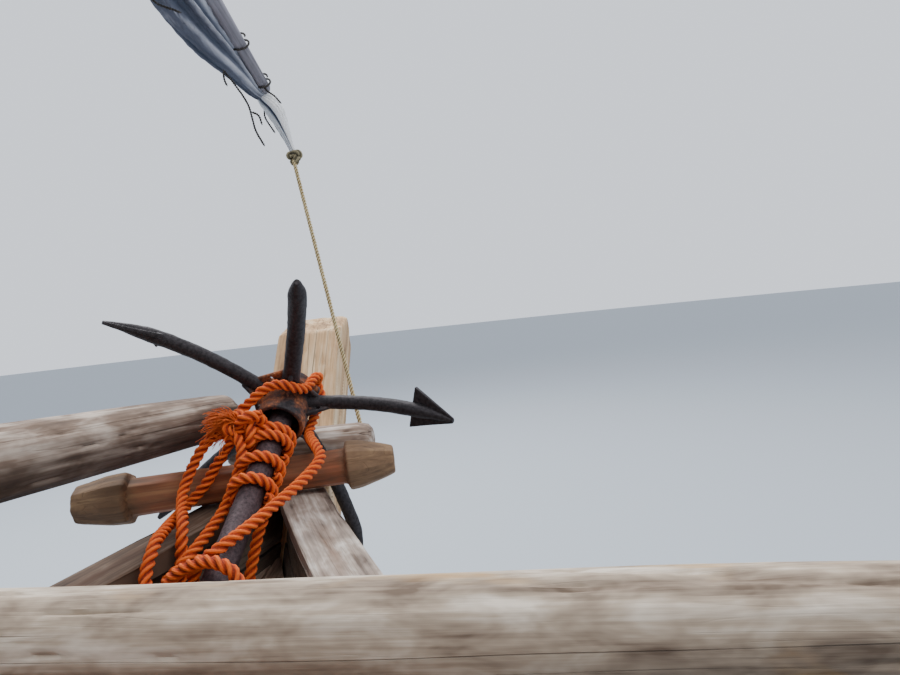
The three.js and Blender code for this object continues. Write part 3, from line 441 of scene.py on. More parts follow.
def knot_route(centre, size):
    """A trefoil that stops just short of closing."""
    points = []
    for step in range(37):
        t = 2 * math.pi * step / 38
        ring = Vector((
            math.sin(t) + 2 * math.sin(2 * t),
            1.15 * math.sin(3 * t),
            math.cos(t) - 2 * math.cos(2 * t),
        ))
        points.append(centre + ring * size)
    return through(points, 0.004)

# %% [markdown]
# A frayed end
#
# The rope's end behind the crown has come apart into fibres. Each is a thin three-sided tube, and
# seeded chance draws its way, its length and its curl, so they are the same in each run.

# %% Fibres
FIBRE_RADIUS, FIBRE_SPREAD, FIBRE_ROOT, FIBRE_CURL, FIBRE_DROOP = 0.0013, 0.34, 0.016, 0.005, 0.018


def tuft(name, base, way, length, count, seed):
    """Thin fibres that spread and droop."""
    chance = random.Random(seed)
    shape = bmesh.new()
    grain = []
    way = way.normalized()
    for _ in range(count):
        spread = Vector((chance.gauss(0, 1), chance.gauss(0, 1), chance.gauss(0, 1))) * FIBRE_SPREAD
        reach = length * chance.uniform(0.45, 1.0)
        start = base + spread * FIBRE_ROOT
        heading = (way + spread).normalized()
        across = heading.cross(Vector((0.2, 1, 0.1))).normalized()
        other = heading.cross(across)
        rings = []
        for step in range(5):
            share = step / 4
            curl = across * math.sin(share * 3 + spread.x * 9) * FIBRE_CURL
            curl -= Z * FIBRE_DROOP * share * share
            centre = start + heading * reach * share + curl
            thick = FIBRE_RADIUS * (1 - 0.5 * share)
            places = [centre + spoke(across, other, angle) * thick for angle in (0, 2.1, 4.2)]
            rings.append([shape.verts.new(place) for place in places])
            grain += [(share, spread.y, 1.0)] * 3
        skin(shape, rings)
    return recalculate(store_grain(mesh_piece(name, shape), grain))


print("a tuft's fibres are", 2 * FIBRE_RADIUS * 1000, "mm thick")

# %% [markdown]
# Ropes in place
#
# The hitches are fused to one piece, and the knot, its lead and its frayed end to another. The cable
# and the bights are pieces of their own.

# %% Hitches, knot, cable and bights
hitches = fuse("anchor_hitches", [
    laid_rope(f"hitch_{number}", hitch_route(*row), ROPE_RADIUS) for number, row in enumerate(HITCHES)
])
knot = fuse("anchor_knot", [
    laid_rope("knot_turns", knot_route(KNOT, 0.0112), ROPE_RADIUS),
    laid_rope("knot_end", through([KNOT, KNOT + (KNOT_END - KNOT) * 0.5 + Z * 0.006, KNOT_END]), ROPE_RADIUS),
    laid_rope("knot_lead", through([(-0.047, 3.655, 1.284), (-0.036, 3.655, 1.304), KNOT]), ROPE_RADIUS),
    tuft("frayed_end", KNOT + Vector((-0.026, 0, 0.012)), Vector((-0.8, -0.15, 0.55)), 0.052, 300, 9),
])
cable = laid_rope("anchor_cable", cable_route, ROPE_RADIUS)
bights = laid_rope("anchor_rope_bights", bights_route, ROPE_RADIUS)
print("rope faces", sum(len(piece.data.polygons) for piece in (hitches, knot, cable, bights)))

# %% [markdown]
# Shader maths as Python
#
# A small class wraps a socket, so that an expression such as `1 - mask * 0.4` adds its own Math
# nodes. Every other node comes from one method that sets its settings first and then its sockets.

# %% A wrapped socket and a material maker


class Value:
    """A shader value that can be added, scaled and compared."""

    def __init__(self, made, socket):
        self.made, self.socket = made, socket

    def math(self, operation, *others):
        return self.made.node("ShaderNodeMath", {"operation": operation}, [self, *others])

    def __add__(self, other):
        return self.math("ADD", other)

    def __sub__(self, other):
        return self.math("SUBTRACT", other)

    def __mul__(self, other):
        return self.math("MULTIPLY", other)

    def __rsub__(self, other):
        return self.made.node("ShaderNodeMath", {"operation": "SUBTRACT"}, [other, self])

    __radd__ = __add__
    __rmul__ = __mul__

    def above(self, low, high):
        """0 below low, 1 above high, and smooth between them."""
        return self.made.node(
            "ShaderNodeMapRange",
            {"interpolation_type": "SMOOTHSTEP"},
            {"Value": self, "From Min": low, "From Max": high},
        )


class Material:
    """Makes one material. Colours are written as the eye sees them, from 0 to 1."""

    def __init__(self, name):
        self.material = bpy.data.materials.new(name)
        self.material.use_nodes = True
        self.tree = self.material.node_tree
        self.shader = self.tree.nodes["Principled BSDF"]
        places = self.tree.nodes.new("ShaderNodeTexCoord").outputs
        self.place, self.facing = Value(self, places["Object"]), Value(self, places["Normal"])

    def node(self, kind, settings, values, output=0):
        node = self.tree.nodes.new(kind)
        for name, value in settings.items():
            if name == "stops":
                ramp = node.color_ramp
                while len(ramp.elements) < len(value):
                    ramp.elements.new(0.5)
                for element, (position, colour) in zip(ramp.elements, value):
                    element.position, element.color = position, linear(colour)
            else:
                setattr(node, name, value)
        pairs = values.items() if isinstance(values, dict) else enumerate(values)
        for name, value in pairs:
            self.link(node.inputs[name], value)
        return Value(self, node.outputs[output])

    def link(self, socket, value):
        if isinstance(value, Value):
            self.tree.links.new(value.socket, socket)
        else:
            socket.default_value = value

    def stretched(self, scale, place=None):
        """Object coordinates, or others, scaled for patterns that run along a grain."""
        return self.node("ShaderNodeMapping", {}, {"Vector": place or self.place, "Scale": scale})

    def noise(self, place, scale, detail=3.0, rough=0.55, warp=0.0):
        values = {"Vector": place, "Scale": scale, "Detail": detail, "Roughness": rough, "Distortion": warp}
        return self.node("ShaderNodeTexNoise", {}, values)

    def cells(self, place, scale, randomness):
        """How far each point is from the middle of its cell."""
        values = {"Vector": place, "Scale": scale, "Randomness": randomness}
        return self.node("ShaderNodeTexVoronoi", {"feature": "F1"}, values)

    def mix(self, factor, first, second):
        """Two colours mixed by a factor. Sockets 0, 6 and 7 are its factor and its two colours."""
        sockets = {0: factor, 6: shown(first), 7: shown(second)}
        return self.node("ShaderNodeMix", {"data_type": "RGBA"}, sockets, 2)

    def ramp(self, value, *stops):
        return self.node("ShaderNodeValToRGB", {"stops": stops}, {"Fac": value})

    def part(self, vector, axis):
        return self.node("ShaderNodeSeparateXYZ", {}, [vector], "XYZ".index(axis))

    def attribute(self, name, output="Fac"):
        return self.node("ShaderNodeAttribute", {"attribute_name": name}, {}, output)

    def done(self, colour, roughness, height=None, depth=0.001, metallic=0.0):
        self.link(self.shader.inputs["Base Color"], shown(colour))
        self.link(self.shader.inputs["Roughness"], roughness)
        self.link(self.shader.inputs["Metallic"], metallic)
        if height is not None:
            bump = self.node("ShaderNodeBump", {}, {"Height": height, "Distance": depth, "Strength": 1.0})
            self.link(self.shader.inputs["Normal"], bump)
        return self.material


def linear(colour):
    """A colour as the eye sees it, as the numbers that the shader wants."""
    return [*(c / 12.92 if c <= 0.04045 else ((c + 0.055) / 1.055) ** 2.4 for c in colour[:3]), 1.0]


def shown(colour):
    return colour if isinstance(colour, Value) else linear(colour)

# %% [markdown]
# Weathered wood
#
# Every timber on this boat is bare and has stood in sun and salt for years. Such wood greys on its
# surface, opens in fine checks along the grain, and keeps darker streaks where the soft grain has
# worn away. One function makes them all: streaks are noise squeezed across the grain, checks are
# thin lines where a stretched noise passes its middle, and broad patches change the tone.
# The pattern follows the "grain" of a piece, or Object coordinates on a node of the imported model.
# Painted shade darkens the faces that point down.

# %% Wood finishes


def lines(field, width):
    """1 in a thin line where a noise passes its middle value, and 0 elsewhere."""
    return 1 - (field - 0.5).math("ABSOLUTE").above(0, width)


def wood_finish(name, dark, middle, light, patch, checks=0.6, relief=0.0015, source="grain", mottle=0.15,
                underside_shade=0.25):
    """Bare wood. Checks are its cracks, mottle its blotches, and the last argument says how much painted
    shade darkens its underside.
    """
    made = Material(name)
    place = made.attribute("grain", "Vector") if source == "grain" else made.stretched((1, 1, 1))
    fibre = made.noise(made.stretched((5, 160, 160), place=place), 1.0, 3, 0.6)
    band = made.noise(made.stretched((1.6, 34, 34), place=place), 1.0, 4, 0.6)
    broad = made.noise(made.stretched((0.9, 5, 5), place=place), 1.0, 3, 0.5)
    blot = made.noise(made.stretched((3, 9, 9), place=place), 1.0, 4, 0.6, 0.4)
    crack = lines(made.noise(made.stretched((1.1, 44, 44), place=place), 1.0, 1, 0.4, 0.2), 0.014)
    fine = lines(made.noise(made.stretched((4.0, 120, 120), place=place), 1.0, 0, 0.4), 0.03)
    opened = crack * made.noise(made.stretched((2.2, 9, 9), place=place), 1.0, 2).above(0.45, 0.62)
    fine = fine * blot.above(0.42, 0.6) * 0.6
    mottles = made.noise(made.stretched((11, 27, 27), place=place), 1.0, 3, 0.6, 0.3)
    tone = band * 0.5 + fibre * 0.3 + broad * 0.5 + mottles * mottle - 0.15 - 0.5 * mottle
    base = made.ramp(tone, (0.3, dark), (0.5, middle), (0.68, light))
    base = made.mix(blot.above(0.56, 0.74) * 0.75, base, patch)
    gaps = (opened * checks + fine * checks * 0.6).math("MINIMUM", 0.92)
    base = made.mix(gaps, base, [0.45 * c for c in dark])
    # Painted shade: faces that point down are mixed towards a darker colour.
    damp_and_painted_shade = 1 - made.part(made.facing, "Z").above(-0.55, 0.75)
    base = made.mix(damp_and_painted_shade * underside_shade, base, [0.5 * c for c in dark])
    height = fibre * 0.25 + band * 0.45 + blot * 0.3 - opened * checks * 1.6 - fine * checks * 0.5
    return made.done(base, 0.84 + fibre * 0.14, height, relief)


TONES = {   # dark, middle, light, patch
    "bleached_log": ((0.45, 0.38, 0.32), (0.71, 0.64, 0.56), (0.90, 0.85, 0.78), (0.76, 0.60, 0.39)),
    "pale_stem": ((0.42, 0.28, 0.18), (0.82, 0.67, 0.50), (0.95, 0.86, 0.72), (0.64, 0.42, 0.26)),
    "white_log": ((0.28, 0.21, 0.18), (0.60, 0.52, 0.46), (0.88, 0.84, 0.80), (0.42, 0.33, 0.27)),
    "spar_wood": ((0.27, 0.25, 0.25), (0.46, 0.44, 0.45), (0.63, 0.61, 0.62), (0.41, 0.37, 0.36)),
    "yard_wood": ((0.38, 0.37, 0.39), (0.62, 0.61, 0.65), (0.78, 0.77, 0.81), (0.55, 0.52, 0.52)),
    "stowed_wood": ((0.25, 0.19, 0.16), (0.52, 0.44, 0.38), (0.80, 0.74, 0.68), (0.40, 0.29, 0.22)),
    "deck_wood": ((0.38, 0.30, 0.25), (0.64, 0.54, 0.46), (0.80, 0.72, 0.64), (0.58, 0.43, 0.31)),
    "rail_wood": ((0.40, 0.34, 0.30), (0.68, 0.62, 0.57), (0.90, 0.87, 0.83), (0.52, 0.40, 0.32)),
    # The port rail's tones: the rail wood made darker, as painted shade.
    "dark_rail": ((0.20, 0.15, 0.12), (0.40, 0.32, 0.26), (0.58, 0.51, 0.45), (0.32, 0.21, 0.15)),
    "hull_planks": ((0.28, 0.24, 0.21), (0.46, 0.41, 0.36), (0.62, 0.57, 0.51), (0.43, 0.30, 0.21)),
    "frame_wood": ((0.25, 0.21, 0.18), (0.40, 0.35, 0.30), (0.54, 0.49, 0.43), (0.37, 0.28, 0.21)),
}


def tones(name):
    return (name, *TONES[name])


BLEACHED = wood_finish(*tones("bleached_log"), checks=0.35, relief=0.002, mottle=0.75)
PALE = wood_finish(*tones("pale_stem"), checks=0.7, relief=0.002, mottle=0.3)
WHITE = wood_finish(*tones("white_log"), checks=0.6, relief=0.002, mottle=0.6)
SPAR_WOOD = wood_finish(*tones("spar_wood"), checks=0.6, relief=0.002)
YARD_WOOD = wood_finish(*tones("yard_wood"), checks=0.6, relief=0.002)
# The stowed spar gets strong painted shade on its underside.
STOWED_WOOD = wood_finish(*tones("stowed_wood"), checks=0.5, relief=0.002, mottle=0.6, underside_shade=0.72)
DECK_WOOD = wood_finish(*tones("deck_wood"), checks=0.6, mottle=0.3)
RAIL_WOOD = wood_finish(*tones("rail_wood"), checks=0.6, relief=0.002, mottle=0.8)
DARK_RAIL = wood_finish(*tones("dark_rail"), checks=0.6, relief=0.002, mottle=0.4)
PLANK_WOOD = wood_finish(*tones("hull_planks"), checks=0.7)
FRAME_WOOD = wood_finish(*tones("frame_wood"), checks=0.5, source="object")

# %% [markdown]
# The crossbeam's wood
#
# The carved beam is a warmer, harder timber. Its worn middle is orange-brown, and its collars and
# ends have bleached, so the tone is mixed by how far along the beam a point is.

# %% Crossbeam wood
COLLARS = ((0.088, 0.13), (0.482, 0.506))   # where the warm middle begins and ends, along the grain


def beam_finish():
    made = Material("carved_beam")
    place = made.attribute("grain", "Vector")
    fibre = made.noise(made.stretched((6, 150, 150), place=place), 1.0, 3, 0.6)
    band = made.noise(made.stretched((3, 40, 40), place=place), 1.0, 4, 0.65)
    blot = made.noise(made.stretched((6, 14, 14), place=place), 1.0, 4, 0.6, 0.5)
    crack = lines(made.noise(made.stretched((1.6, 60, 60), place=place), 1.0, 1, 0.4, 0.1), 0.010)
    along = made.part(place, "X")
    middle = along.above(*COLLARS[0]) * (1 - along.above(*COLLARS[1]))
    tone = band * 0.6 + fibre * 0.25 + blot * 0.3 - 0.08
    warm = made.ramp(tone, (0.3, (0.32, 0.17, 0.10)), (0.5, (0.58, 0.33, 0.21)), (0.7, (0.74, 0.51, 0.34)))
    pale = made.ramp(tone, (0.3, (0.27, 0.20, 0.14)), (0.5, (0.48, 0.37, 0.27)), (0.7, (0.64, 0.52, 0.38)))
    base = made.mix(middle * (0.45 + blot.above(0.35, 0.7) * 0.55), pale, warm)
    base = made.mix(crack * 0.3, base, (0.24, 0.16, 0.10))
    return made.done(base, 0.7 + fibre * 0.25, fibre * 0.3 + band * 0.5 - crack * 0.3, 0.0014)


BEAM_WOOD = beam_finish()

# %% [markdown]
# Rusty iron
#
# The anchor is black iron bar and pipe. Rust has spread over it in patches, brown at their edges
# and orange in their middles, and has pitted the surface. Bare metal would still reflect, so the
# rust also takes the metal away.

# %% Iron


def iron_finish(name, rust, dark=(0.11, 0.10, 0.11), light=(0.27, 0.25, 0.26)):
    made = Material(name)
    pits = made.noise(made.place, 170, 4, 0.65)
    patches = made.noise(made.place, 19, 5, 0.62, 0.5)
    clouds = made.noise(made.place, 6, 3, 0.5)
    rusty = (patches + clouds * 0.5 - 0.25).above(0.62 - rust, 0.78 - rust)
    black = made.ramp(pits, (0.3, dark), (0.7, light))
    brown = made.ramp(patches * 0.6 + pits * 0.4, (0.38, (0.22, 0.14, 0.11)), (0.52, (0.43, 0.26, 0.18)),
                      (0.64, (0.72, 0.42, 0.24)))
    base = made.mix(rusty, black, brown)
    height = pits * 0.6 + patches * 0.8 + rusty * 0.3
    return made.done(base, 0.55 + rusty * 0.35 + pits * 0.1, height, 0.0016, 0.55 * (1 - rusty))


IRON = iron_finish("black_iron", -0.06)
PIPE_IRON = iron_finish("shank_iron", -0.02, (0.19, 0.15, 0.16), (0.38, 0.31, 0.32))
RUSTED = iron_finish("heavy_rust", 0.20)

# %% [markdown]
# Rope fibres
#
# Each strand of a laid rope is twisted from yarns that run nearly along the rope, so fine streaks
# follow it at a slant. The strands' crowns are lighter as painted highlight, and the valleys between
# them darker as painted shade.

# %% Rope finishes


def rope_finish(name, valley_shade, middle, light):
    made = Material(name)
    grain = made.attribute("grain", "Vector")
    along, around, height = (made.part(grain, axis) for axis in "XYZ")
    yarns = ((along * 900 + around * 1500).math("SINE") * 0.5) + 0.5
    fibre = made.noise(made.place, 420, 3, 0.6)
    faded = made.noise(made.place, 14, 4, 0.6)
    # Painted highlight on the strands' crowns, and painted shade in the valleys, by the first colour.
    crown = height.above(0.62, 1.0)
    tone = crown * 0.42 + fibre * 0.28 + faded * 0.35 + yarns * 0.06 - 0.06
    base = made.ramp(tone, (0.18, valley_shade), (0.48, middle), (0.8, light))
    return made.done(base, 0.92, yarns * 0.35 + fibre * 0.5, 0.0009)


ORANGE_ROPE = rope_finish("orange_rope", (0.38, 0.11, 0.05), (0.84, 0.31, 0.09), (0.95, 0.47, 0.17))
TAN_ROPE = rope_finish("tan_rope", (0.42, 0.35, 0.24), (0.76, 0.67, 0.48), (0.91, 0.85, 0.68))
KNOT_ROPE = rope_finish("weathered_knot", (0.20, 0.19, 0.14), (0.44, 0.41, 0.32), (0.62, 0.58, 0.46))
DARK_LINE = rope_finish("dark_line", (0.13, 0.12, 0.12), (0.24, 0.23, 0.22), (0.40, 0.38, 0.36))

# %% [markdown]
# Sailcloth
#
# The sail is undyed cotton canvas. Its weave is too fine to see from the deck, but the cloth is
# blotched with damp and mildew. Painted shade makes it greyer in the creases of its folds, and a
# darker bluish grey on the bundle's side away from the yard.

# %% Cloth


def cloth_finish(name, shade, middle, light, stops=(0.2, 0.5, 0.78)):
    made = Material(name)
    weave = made.cells(made.stretched((1, 1, 1)), 900, 0.35)
    damp_and_painted_shade = made.noise(made.place, 5.5, 5, 0.6, 0.4)
    creases = made.noise(made.stretched((9, 9, 30)), 1.0, 4, 0.6, 0.8)
    # This attribute is the fold's height with painted shade: low in the creases and on the side away from the
    # yard.
    fold = made.attribute("fold")
    tone = damp_and_painted_shade * 0.3 + creases * 0.25 + fold * 0.85 - 0.24
    base = made.ramp(tone, *zip(stops, (shade, middle, light)))
    spots = made.noise(made.place, 60, 3, 0.6).above(0.64, 0.74) * 0.3
    base = made.mix(spots, base, [0.6 * c for c in shade])
    return made.done(base, 0.93, creases * 0.8 + weave * 0.12, 0.004)


# The sail's tones are darker than the undyed canvas is, as painted shade for a bundle seen against the light.
SAILCLOTH = cloth_finish("sailcloth", (0.21, 0.25, 0.32), (0.37, 0.39, 0.45), (0.80, 0.81, 0.85),
                         (0.26, 0.56, 0.84))
WHITE_CLOTH = cloth_finish("white_cloth", (0.34, 0.38, 0.46), (0.84, 0.86, 0.88), (0.98, 0.98, 0.98))

# %% [markdown]
# Round timbers
#
# A log or a spar starts as a circle. It is extruded from station to station, each time resized to
# the radius there, and then its long edges are subdivided so that wear has points to move.
# Wear is noise stretched along the grain: slow hollows, ridges of hard grain, and splits.
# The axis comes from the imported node, so that the new timber lies exactly where its solid does.

# %% Timbers


def axis_of(node, toward):
    """The ends of a round node's axis, and the direction from it to one of its corners."""
    points = {tuple(round(c, 5) for c in vertex.co) for vertex in nodes[node].data.vertices}
    points = numpy.array(sorted(points))
    centre = points.mean(axis=0)
    way = numpy.linalg.eigh(numpy.cov((points - centre).T))[1][:, 2]
    way *= 1 if way @ numpy.array(toward) > 0 else -1
    reach = (points - centre) @ way
    off = (points - centre) - numpy.outer(reach, way)
    corner = off[numpy.argmax((off ** 2).sum(axis=1))]
    start, end = centre + way * reach.min(), centre + way * reach.max()
    return Vector(start), Vector(end), Vector(corner).normalized()


def set_grain(piece, along, up=Z, seed=0):
    """Stores how far along the grain, to its side and above it each point is."""
    along = along.normalized()
    side = up.cross(along).normalized()
    top = along.cross(side)
    shift = Vector((seed * 3.17 % 11, seed * 1.31 % 7, seed * 2.71 % 5))
    values = []
    for vertex in piece.data.vertices:
        values.append(Vector((vertex.co.dot(along), vertex.co.dot(side), vertex.co.dot(top))) + shift)
    return store_grain(piece, values)


def wear(piece, hollows, ridges, splits=0.0, width=0.035):
    """Moves points along their normals by noise that follows the grain."""
    grain = [Vector(item.vector) for item in piece.data.attributes["grain"].data]
    normals = [vertex.normal.copy() for vertex in piece.data.vertices]
    for vertex, g, normal in zip(piece.data.vertices, grain, normals):
        slow = noise.noise(Vector((g.x * 2.2, g.y * 9, g.z * 9)))
        ridge = noise.noise(Vector((g.x * 3.5, g.y * 75, g.z * 75)))
        split = abs(noise.noise(Vector((g.x * 1.3, g.y * 27 + 5, g.z * 27))))
        opened = max(0.0, 1 - split / width) * min(1, max(0, noise.noise(g * 3.1) + 0.45) * 3)
        vertex.co += normal * (hollows * slow + ridges * ridge - splits * opened)
    piece.data.update()
    return piece


def timber(name, axis, stations, sides, spacing, seed=1, bevel=0.0):
    """A round timber along an axis. Stations are pairs of a distance from its start and a radius."""
    start, end, corner = axis
    nothing_selected()
    bpy.ops.mesh.primitive_circle_add(vertices=sides, radius=stations[0][1], fill_type="NGON")
    piece = bpy.context.active_object
    piece.name = piece.data.name = name
    in_edit(piece, "ALL")
    for (place, radius), (after, next_radius) in zip(stations, stations[1:]):
        bpy.ops.mesh.extrude_region_move(TRANSFORM_OT_translate={"value": (0, 0, after - place)})
        share = next_radius / radius
        bpy.ops.transform.resize(value=(share, share, 1), center_override=(0, 0, after))
    for thickness in (0.25, 0.4):
        bpy.ops.mesh.inset(thickness=thickness * stations[-1][1], depth=0)
    shape = bmesh.from_edit_mesh(piece.data)
    pick(shape, lambda face: all(abs(v.co.z) < 1e-6 for v in face.verts))
    for thickness in (0.25, 0.4):
        bpy.ops.mesh.inset(thickness=thickness * stations[0][1], depth=0)
    bpy.ops.mesh.select_all(action="SELECT")
    bpy.ops.mesh.normals_make_consistent(inside=False)
    out_of_edit()
    if bevel:
        ease_edges(piece, bevel, 25)
    divide_long_edges(piece, spacing)
    set_grain(piece, Z, X, seed=seed)
    way = (end - start).normalized()
    side = (corner - way * corner.dot(way)).normalized()
    piece.matrix_world = turned_to(start, side, way.cross(side), way)
    return settle(piece)


def divide_long_edges(piece, spacing):
    """Subdivides each run of long edges into pieces of about the same length."""
    in_edit(piece)
    bpy.ops.mesh.select_mode(type="EDGE")
    shape = bmesh.from_edit_mesh(piece.data)
    spans = sorted({
        (round(min(a.co.z, b.co.z), 5), round(max(a.co.z, b.co.z), 5))
        for a, b in (edge.verts for edge in shape.edges) if abs(a.co.z - b.co.z) > 1.5 * spacing
    })
    for low, high in spans:
        shape = bmesh.from_edit_mesh(piece.data)
        for edge in shape.edges:
            ends = sorted(round(vertex.co.z, 5) for vertex in edge.verts)
            edge.select_set(ends == [low, high])
        bpy.ops.mesh.subdivide(number_cuts=max(1, round((high - low) / spacing) - 1))
        bpy.ops.mesh.select_all(action="DESELECT")
    out_of_edit()

# %% [markdown]
# Logs and spars
#
# A heavy bleached log lies across both rails, a short white one lies against the stem, and a spare
# spar is stowed along the port bow. The log across the rails is nearest to the eye, so it gets the
# most points: its splits and ridges are real hollows, a few millimetres deep.

# %% Logs and spars
LOGS = [   # name, node, toward, stations, sides, spacing, finish, slot, hollows, ridges, splits
    ("heavy_log", "cross_log", (1, 0, 0),
     [(0, 0.046), (0.012, 0.055), (0.05, 0.059), (0.4, 0.0605), (1.0, 0.0585), (1.45, 0.056), (1.479, 0.052),
      (1.488, 0.045)], 96, 0.009, BLEACHED, "bleached_wood", 0.004, 0.0016, 0.0045),
    ("stem_log", "bow_log", (1, 0, 0),
     [(0, 0.027), (0.008, 0.034), (0.03, 0.0385), (0.16, 0.037), (0.284, 0.0385), (0.306, 0.033),
      (0.314, 0.024)], 64, 0.006, WHITE, "bleached_wood", 0.003, 0.0012, 0.003),
    ("spare_spar", "stowed_spar", (0, -1, 0.1),
     [(0, 0.036), (0.010, 0.043), (0.06, 0.046), (0.52, 0.055), (1.8, 0.058), (3.0, 0.060), (3.012, 0.052)],
     72, 0.012, STOWED_WOOD, "dark_wood", 0.004, 0.0018, 0.004),
    ("lower_yard", "yard_lower_spar", (0, -1, 0.3),
     [(0, 0.009), (0.010, 0.013), (0.6, 0.024), (1.7, 0.042), (2.8, 0.052), (5.56, 0.034), (5.595, 0.026)],
     32, 0.03, YARD_WOOD, "dark_wood", 0.003, 0.001, 0.002),
    ("upper_yard", "yard_upper_spar", (0, -1, 0.3),
     [(0, 0.026), (0.03, 0.034), (1.3, 0.047), (2.7, 0.036), (4.56, 0.020), (4.60, 0.012)],
     32, 0.03, YARD_WOOD, "dark_wood", 0.003, 0.001, 0.002),
]
for name, node, toward, stations, sides, spacing, finish, slot, hollows, ridges, splits in LOGS:
    axis = axis_of(node, toward)
    length = (axis[1] - axis[0]).length
    stations[-1] = (length, stations[-1][1])
    piece = timber(name, axis, stations, sides, spacing, seed=len(PIECES) + 1)
    wear(piece, hollows, ridges, splits)
    smooth(piece, 50)
    body = "yard" if "yard" in node else "hull"
    finish_piece(piece, name, body, finish, slot, node)
    print(name, round(length, 3), "m,", len(piece.data.polygons), "faces")

# %% [markdown]
# The hull's shape
#
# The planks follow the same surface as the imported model: s runs from the transom to the stem, and u
# from the keel to the sheer. The bow sections are straight, the middle ones round, and the stern
# ones hollow, and a smooth share of each is mixed by the place along the hull.

# %% Hull surface
KEEL_AFT, FOREFOOT_Z, STEM_SLOPE = Vector((0, -3.750, -0.440)), -0.360, 0.95
STEM_FACE = Vector((0, 3.845, 1.133))
TRANSOM_TOP_Y, WIDEST_Y, LOWEST_Y, LOWEST_Z = -4.150, -0.500, -0.800, 0.919
HALF_BEAM, TRANSOM_HALF, BOW_HALF, FINENESS = 1.285, 0.780, 0.025, 0.4
BOW_RISE, STERN_RISE = 0.252, 0.190
PLANK, WALE, KEEL_HALF = 0.028, 0.036, 0.020


def stem_y(z):
    return STEM_FACE.y + (z - STEM_FACE.z) * STEM_SLOPE


FOREFOOT_Y = stem_y(FOREFOOT_Z) + 0.020
STEM_TOP_Y = stem_y(LOWEST_Z + BOW_RISE) + 0.020


def between(a, b, t):
    return a + (b - a) * t


def eased(low, high, value):
    t = min(max((value - low) / (high - low), 0), 1)
    return t * t * (3 - 2 * t)


def sheer_height(y):
    run = STEM_TOP_Y - LOWEST_Y if y > LOWEST_Y else LOWEST_Y - TRANSOM_TOP_Y
    return LOWEST_Z + (BOW_RISE if y > LOWEST_Y else STERN_RISE) * ((y - LOWEST_Y) / run) ** 2


def sheer_half(y):
    if y < WIDEST_Y:
        t = (WIDEST_Y - y) / (WIDEST_Y - TRANSOM_TOP_Y)
        return TRANSOM_HALF + (HALF_BEAM - TRANSOM_HALF) * (1 - t * t)
    t = (y - WIDEST_Y) / (STEM_TOP_Y - WIDEST_Y)
    return BOW_HALF + (HALF_BEAM - BOW_HALF) * (1 - t * t) * (1 - FINENESS * t ** 4)


def fullness(s, u):
    """The share of the half width at the sheer that a section has at a height."""
    bow, stern = eased(0.42, 1, s), 1 - eased(0, 0.42, s)
    rounded = 1 - max(1 - u, 0) ** 2.3
    hollow = 0.35 * u + 0.65 * u * u * (3 - 2 * u)
    return bow * u ** 0.92 + stern * hollow + (1 - bow - stern) * rounded


def hull_point(s, u):
    """A point on the outside of the planking, on the starboard side."""
    keel_y, sheer_y = between(KEEL_AFT.y, FOREFOOT_Y, s), between(TRANSOM_TOP_Y, STEM_TOP_Y, s)
    keel_z = between(KEEL_AFT.z, FOREFOOT_Z, (keel_y - KEEL_AFT.y) / (FOREFOOT_Y - KEEL_AFT.y))
    half = KEEL_HALF + (sheer_half(sheer_y) - KEEL_HALF) * fullness(s, max(u, 0))
    return Vector((half, between(keel_y, sheer_y, u), between(keel_z, sheer_height(sheer_y), u)))


def inside(s, u, depth):
    """A point that far inside the outer planking, on the starboard side."""
    e = 0.004
    along = hull_point(min(s + e, 1), u) - hull_point(s - e, u)
    upward = hull_point(s, u + e) - hull_point(s, max(u - e, 0))
    inward = upward.cross(along).normalized()
    if inward.x > 0:
        inward.negate()
    point = hull_point(s, u) + inward * depth
    point.x = max(point.x, 0.0005 if depth > 0 else 0.001)
    return point

# %% [markdown]
# Planks
#
# A plank is a flat strip bent to the hull, so it starts as a grid whose points are put on the
# surface. Solidify gives it its thickness inwards and Bevel eases its edges, which makes the seams.
# Planks meet end to end at butts, and the butts of neighbouring strakes are kept apart.

# %% Planks on the hull


def bent_board(name, place, columns, rows, thickness, bevel, seed, length=8.0, height=1.5):
    """A board whose grid of points is put in place by a function of two shares from 0 to 1."""
    nothing_selected()
    bpy.ops.mesh.primitive_grid_add(x_subdivisions=columns, y_subdivisions=rows, size=2)
    board = bpy.context.active_object
    board.name = name
    grain = []
    for vertex in board.data.vertices:
        first, second = (vertex.co.x + 1) / 2, (vertex.co.y + 1) / 2
        vertex.co = place(first, second)
        grain.append((first * length + seed * 3.7 % 11, second * height + seed * 1.9 % 7, seed * 0.37 % 3))
    store_grain(board, grain)
    board.data.update()
    centre = board.data.polygons[len(board.data.polygons) // 2]
    if centre.normal.dot(Vector((0.6, 0, 0.4))) < 0:
        in_edit(board, "ALL")
        bpy.ops.mesh.flip_normals()
        out_of_edit()
    modify(board, "SOLIDIFY", thickness=thickness, offset=-1, use_even_offset=True)
    return ease_edges(board, bevel, 40)


def port_copy(piece):
    """The same piece on the other side, with its faces turned outwards again."""
    only(piece)
    bpy.ops.object.duplicate()
    other = bpy.context.active_object
    for vertex in other.data.vertices:
        vertex.co.x = -vertex.co.x
    in_edit(other, "ALL")
    bpy.ops.mesh.flip_normals()
    out_of_edit()
    return other


STRAKES = [   # name, low u, high u, strakes, outer depth, thickness, butts of even and odd strakes
    ("bottom", 0.0, 0.4, 5, 0.0, PLANK, (0.30, 0.613), (0.45, 0.78)),
    ("side", 0.4, 0.86, 6, 0.0, PLANK, (0.3035, 0.6518), (0.18, 0.50, 0.83)),
    ("sheer", 0.86, 1.0, 2, PLANK - WALE, WALE, (0.37, 0.72), (0.22, 0.56)),
]
SEAM, BUTT = 0.0011, 0.00016


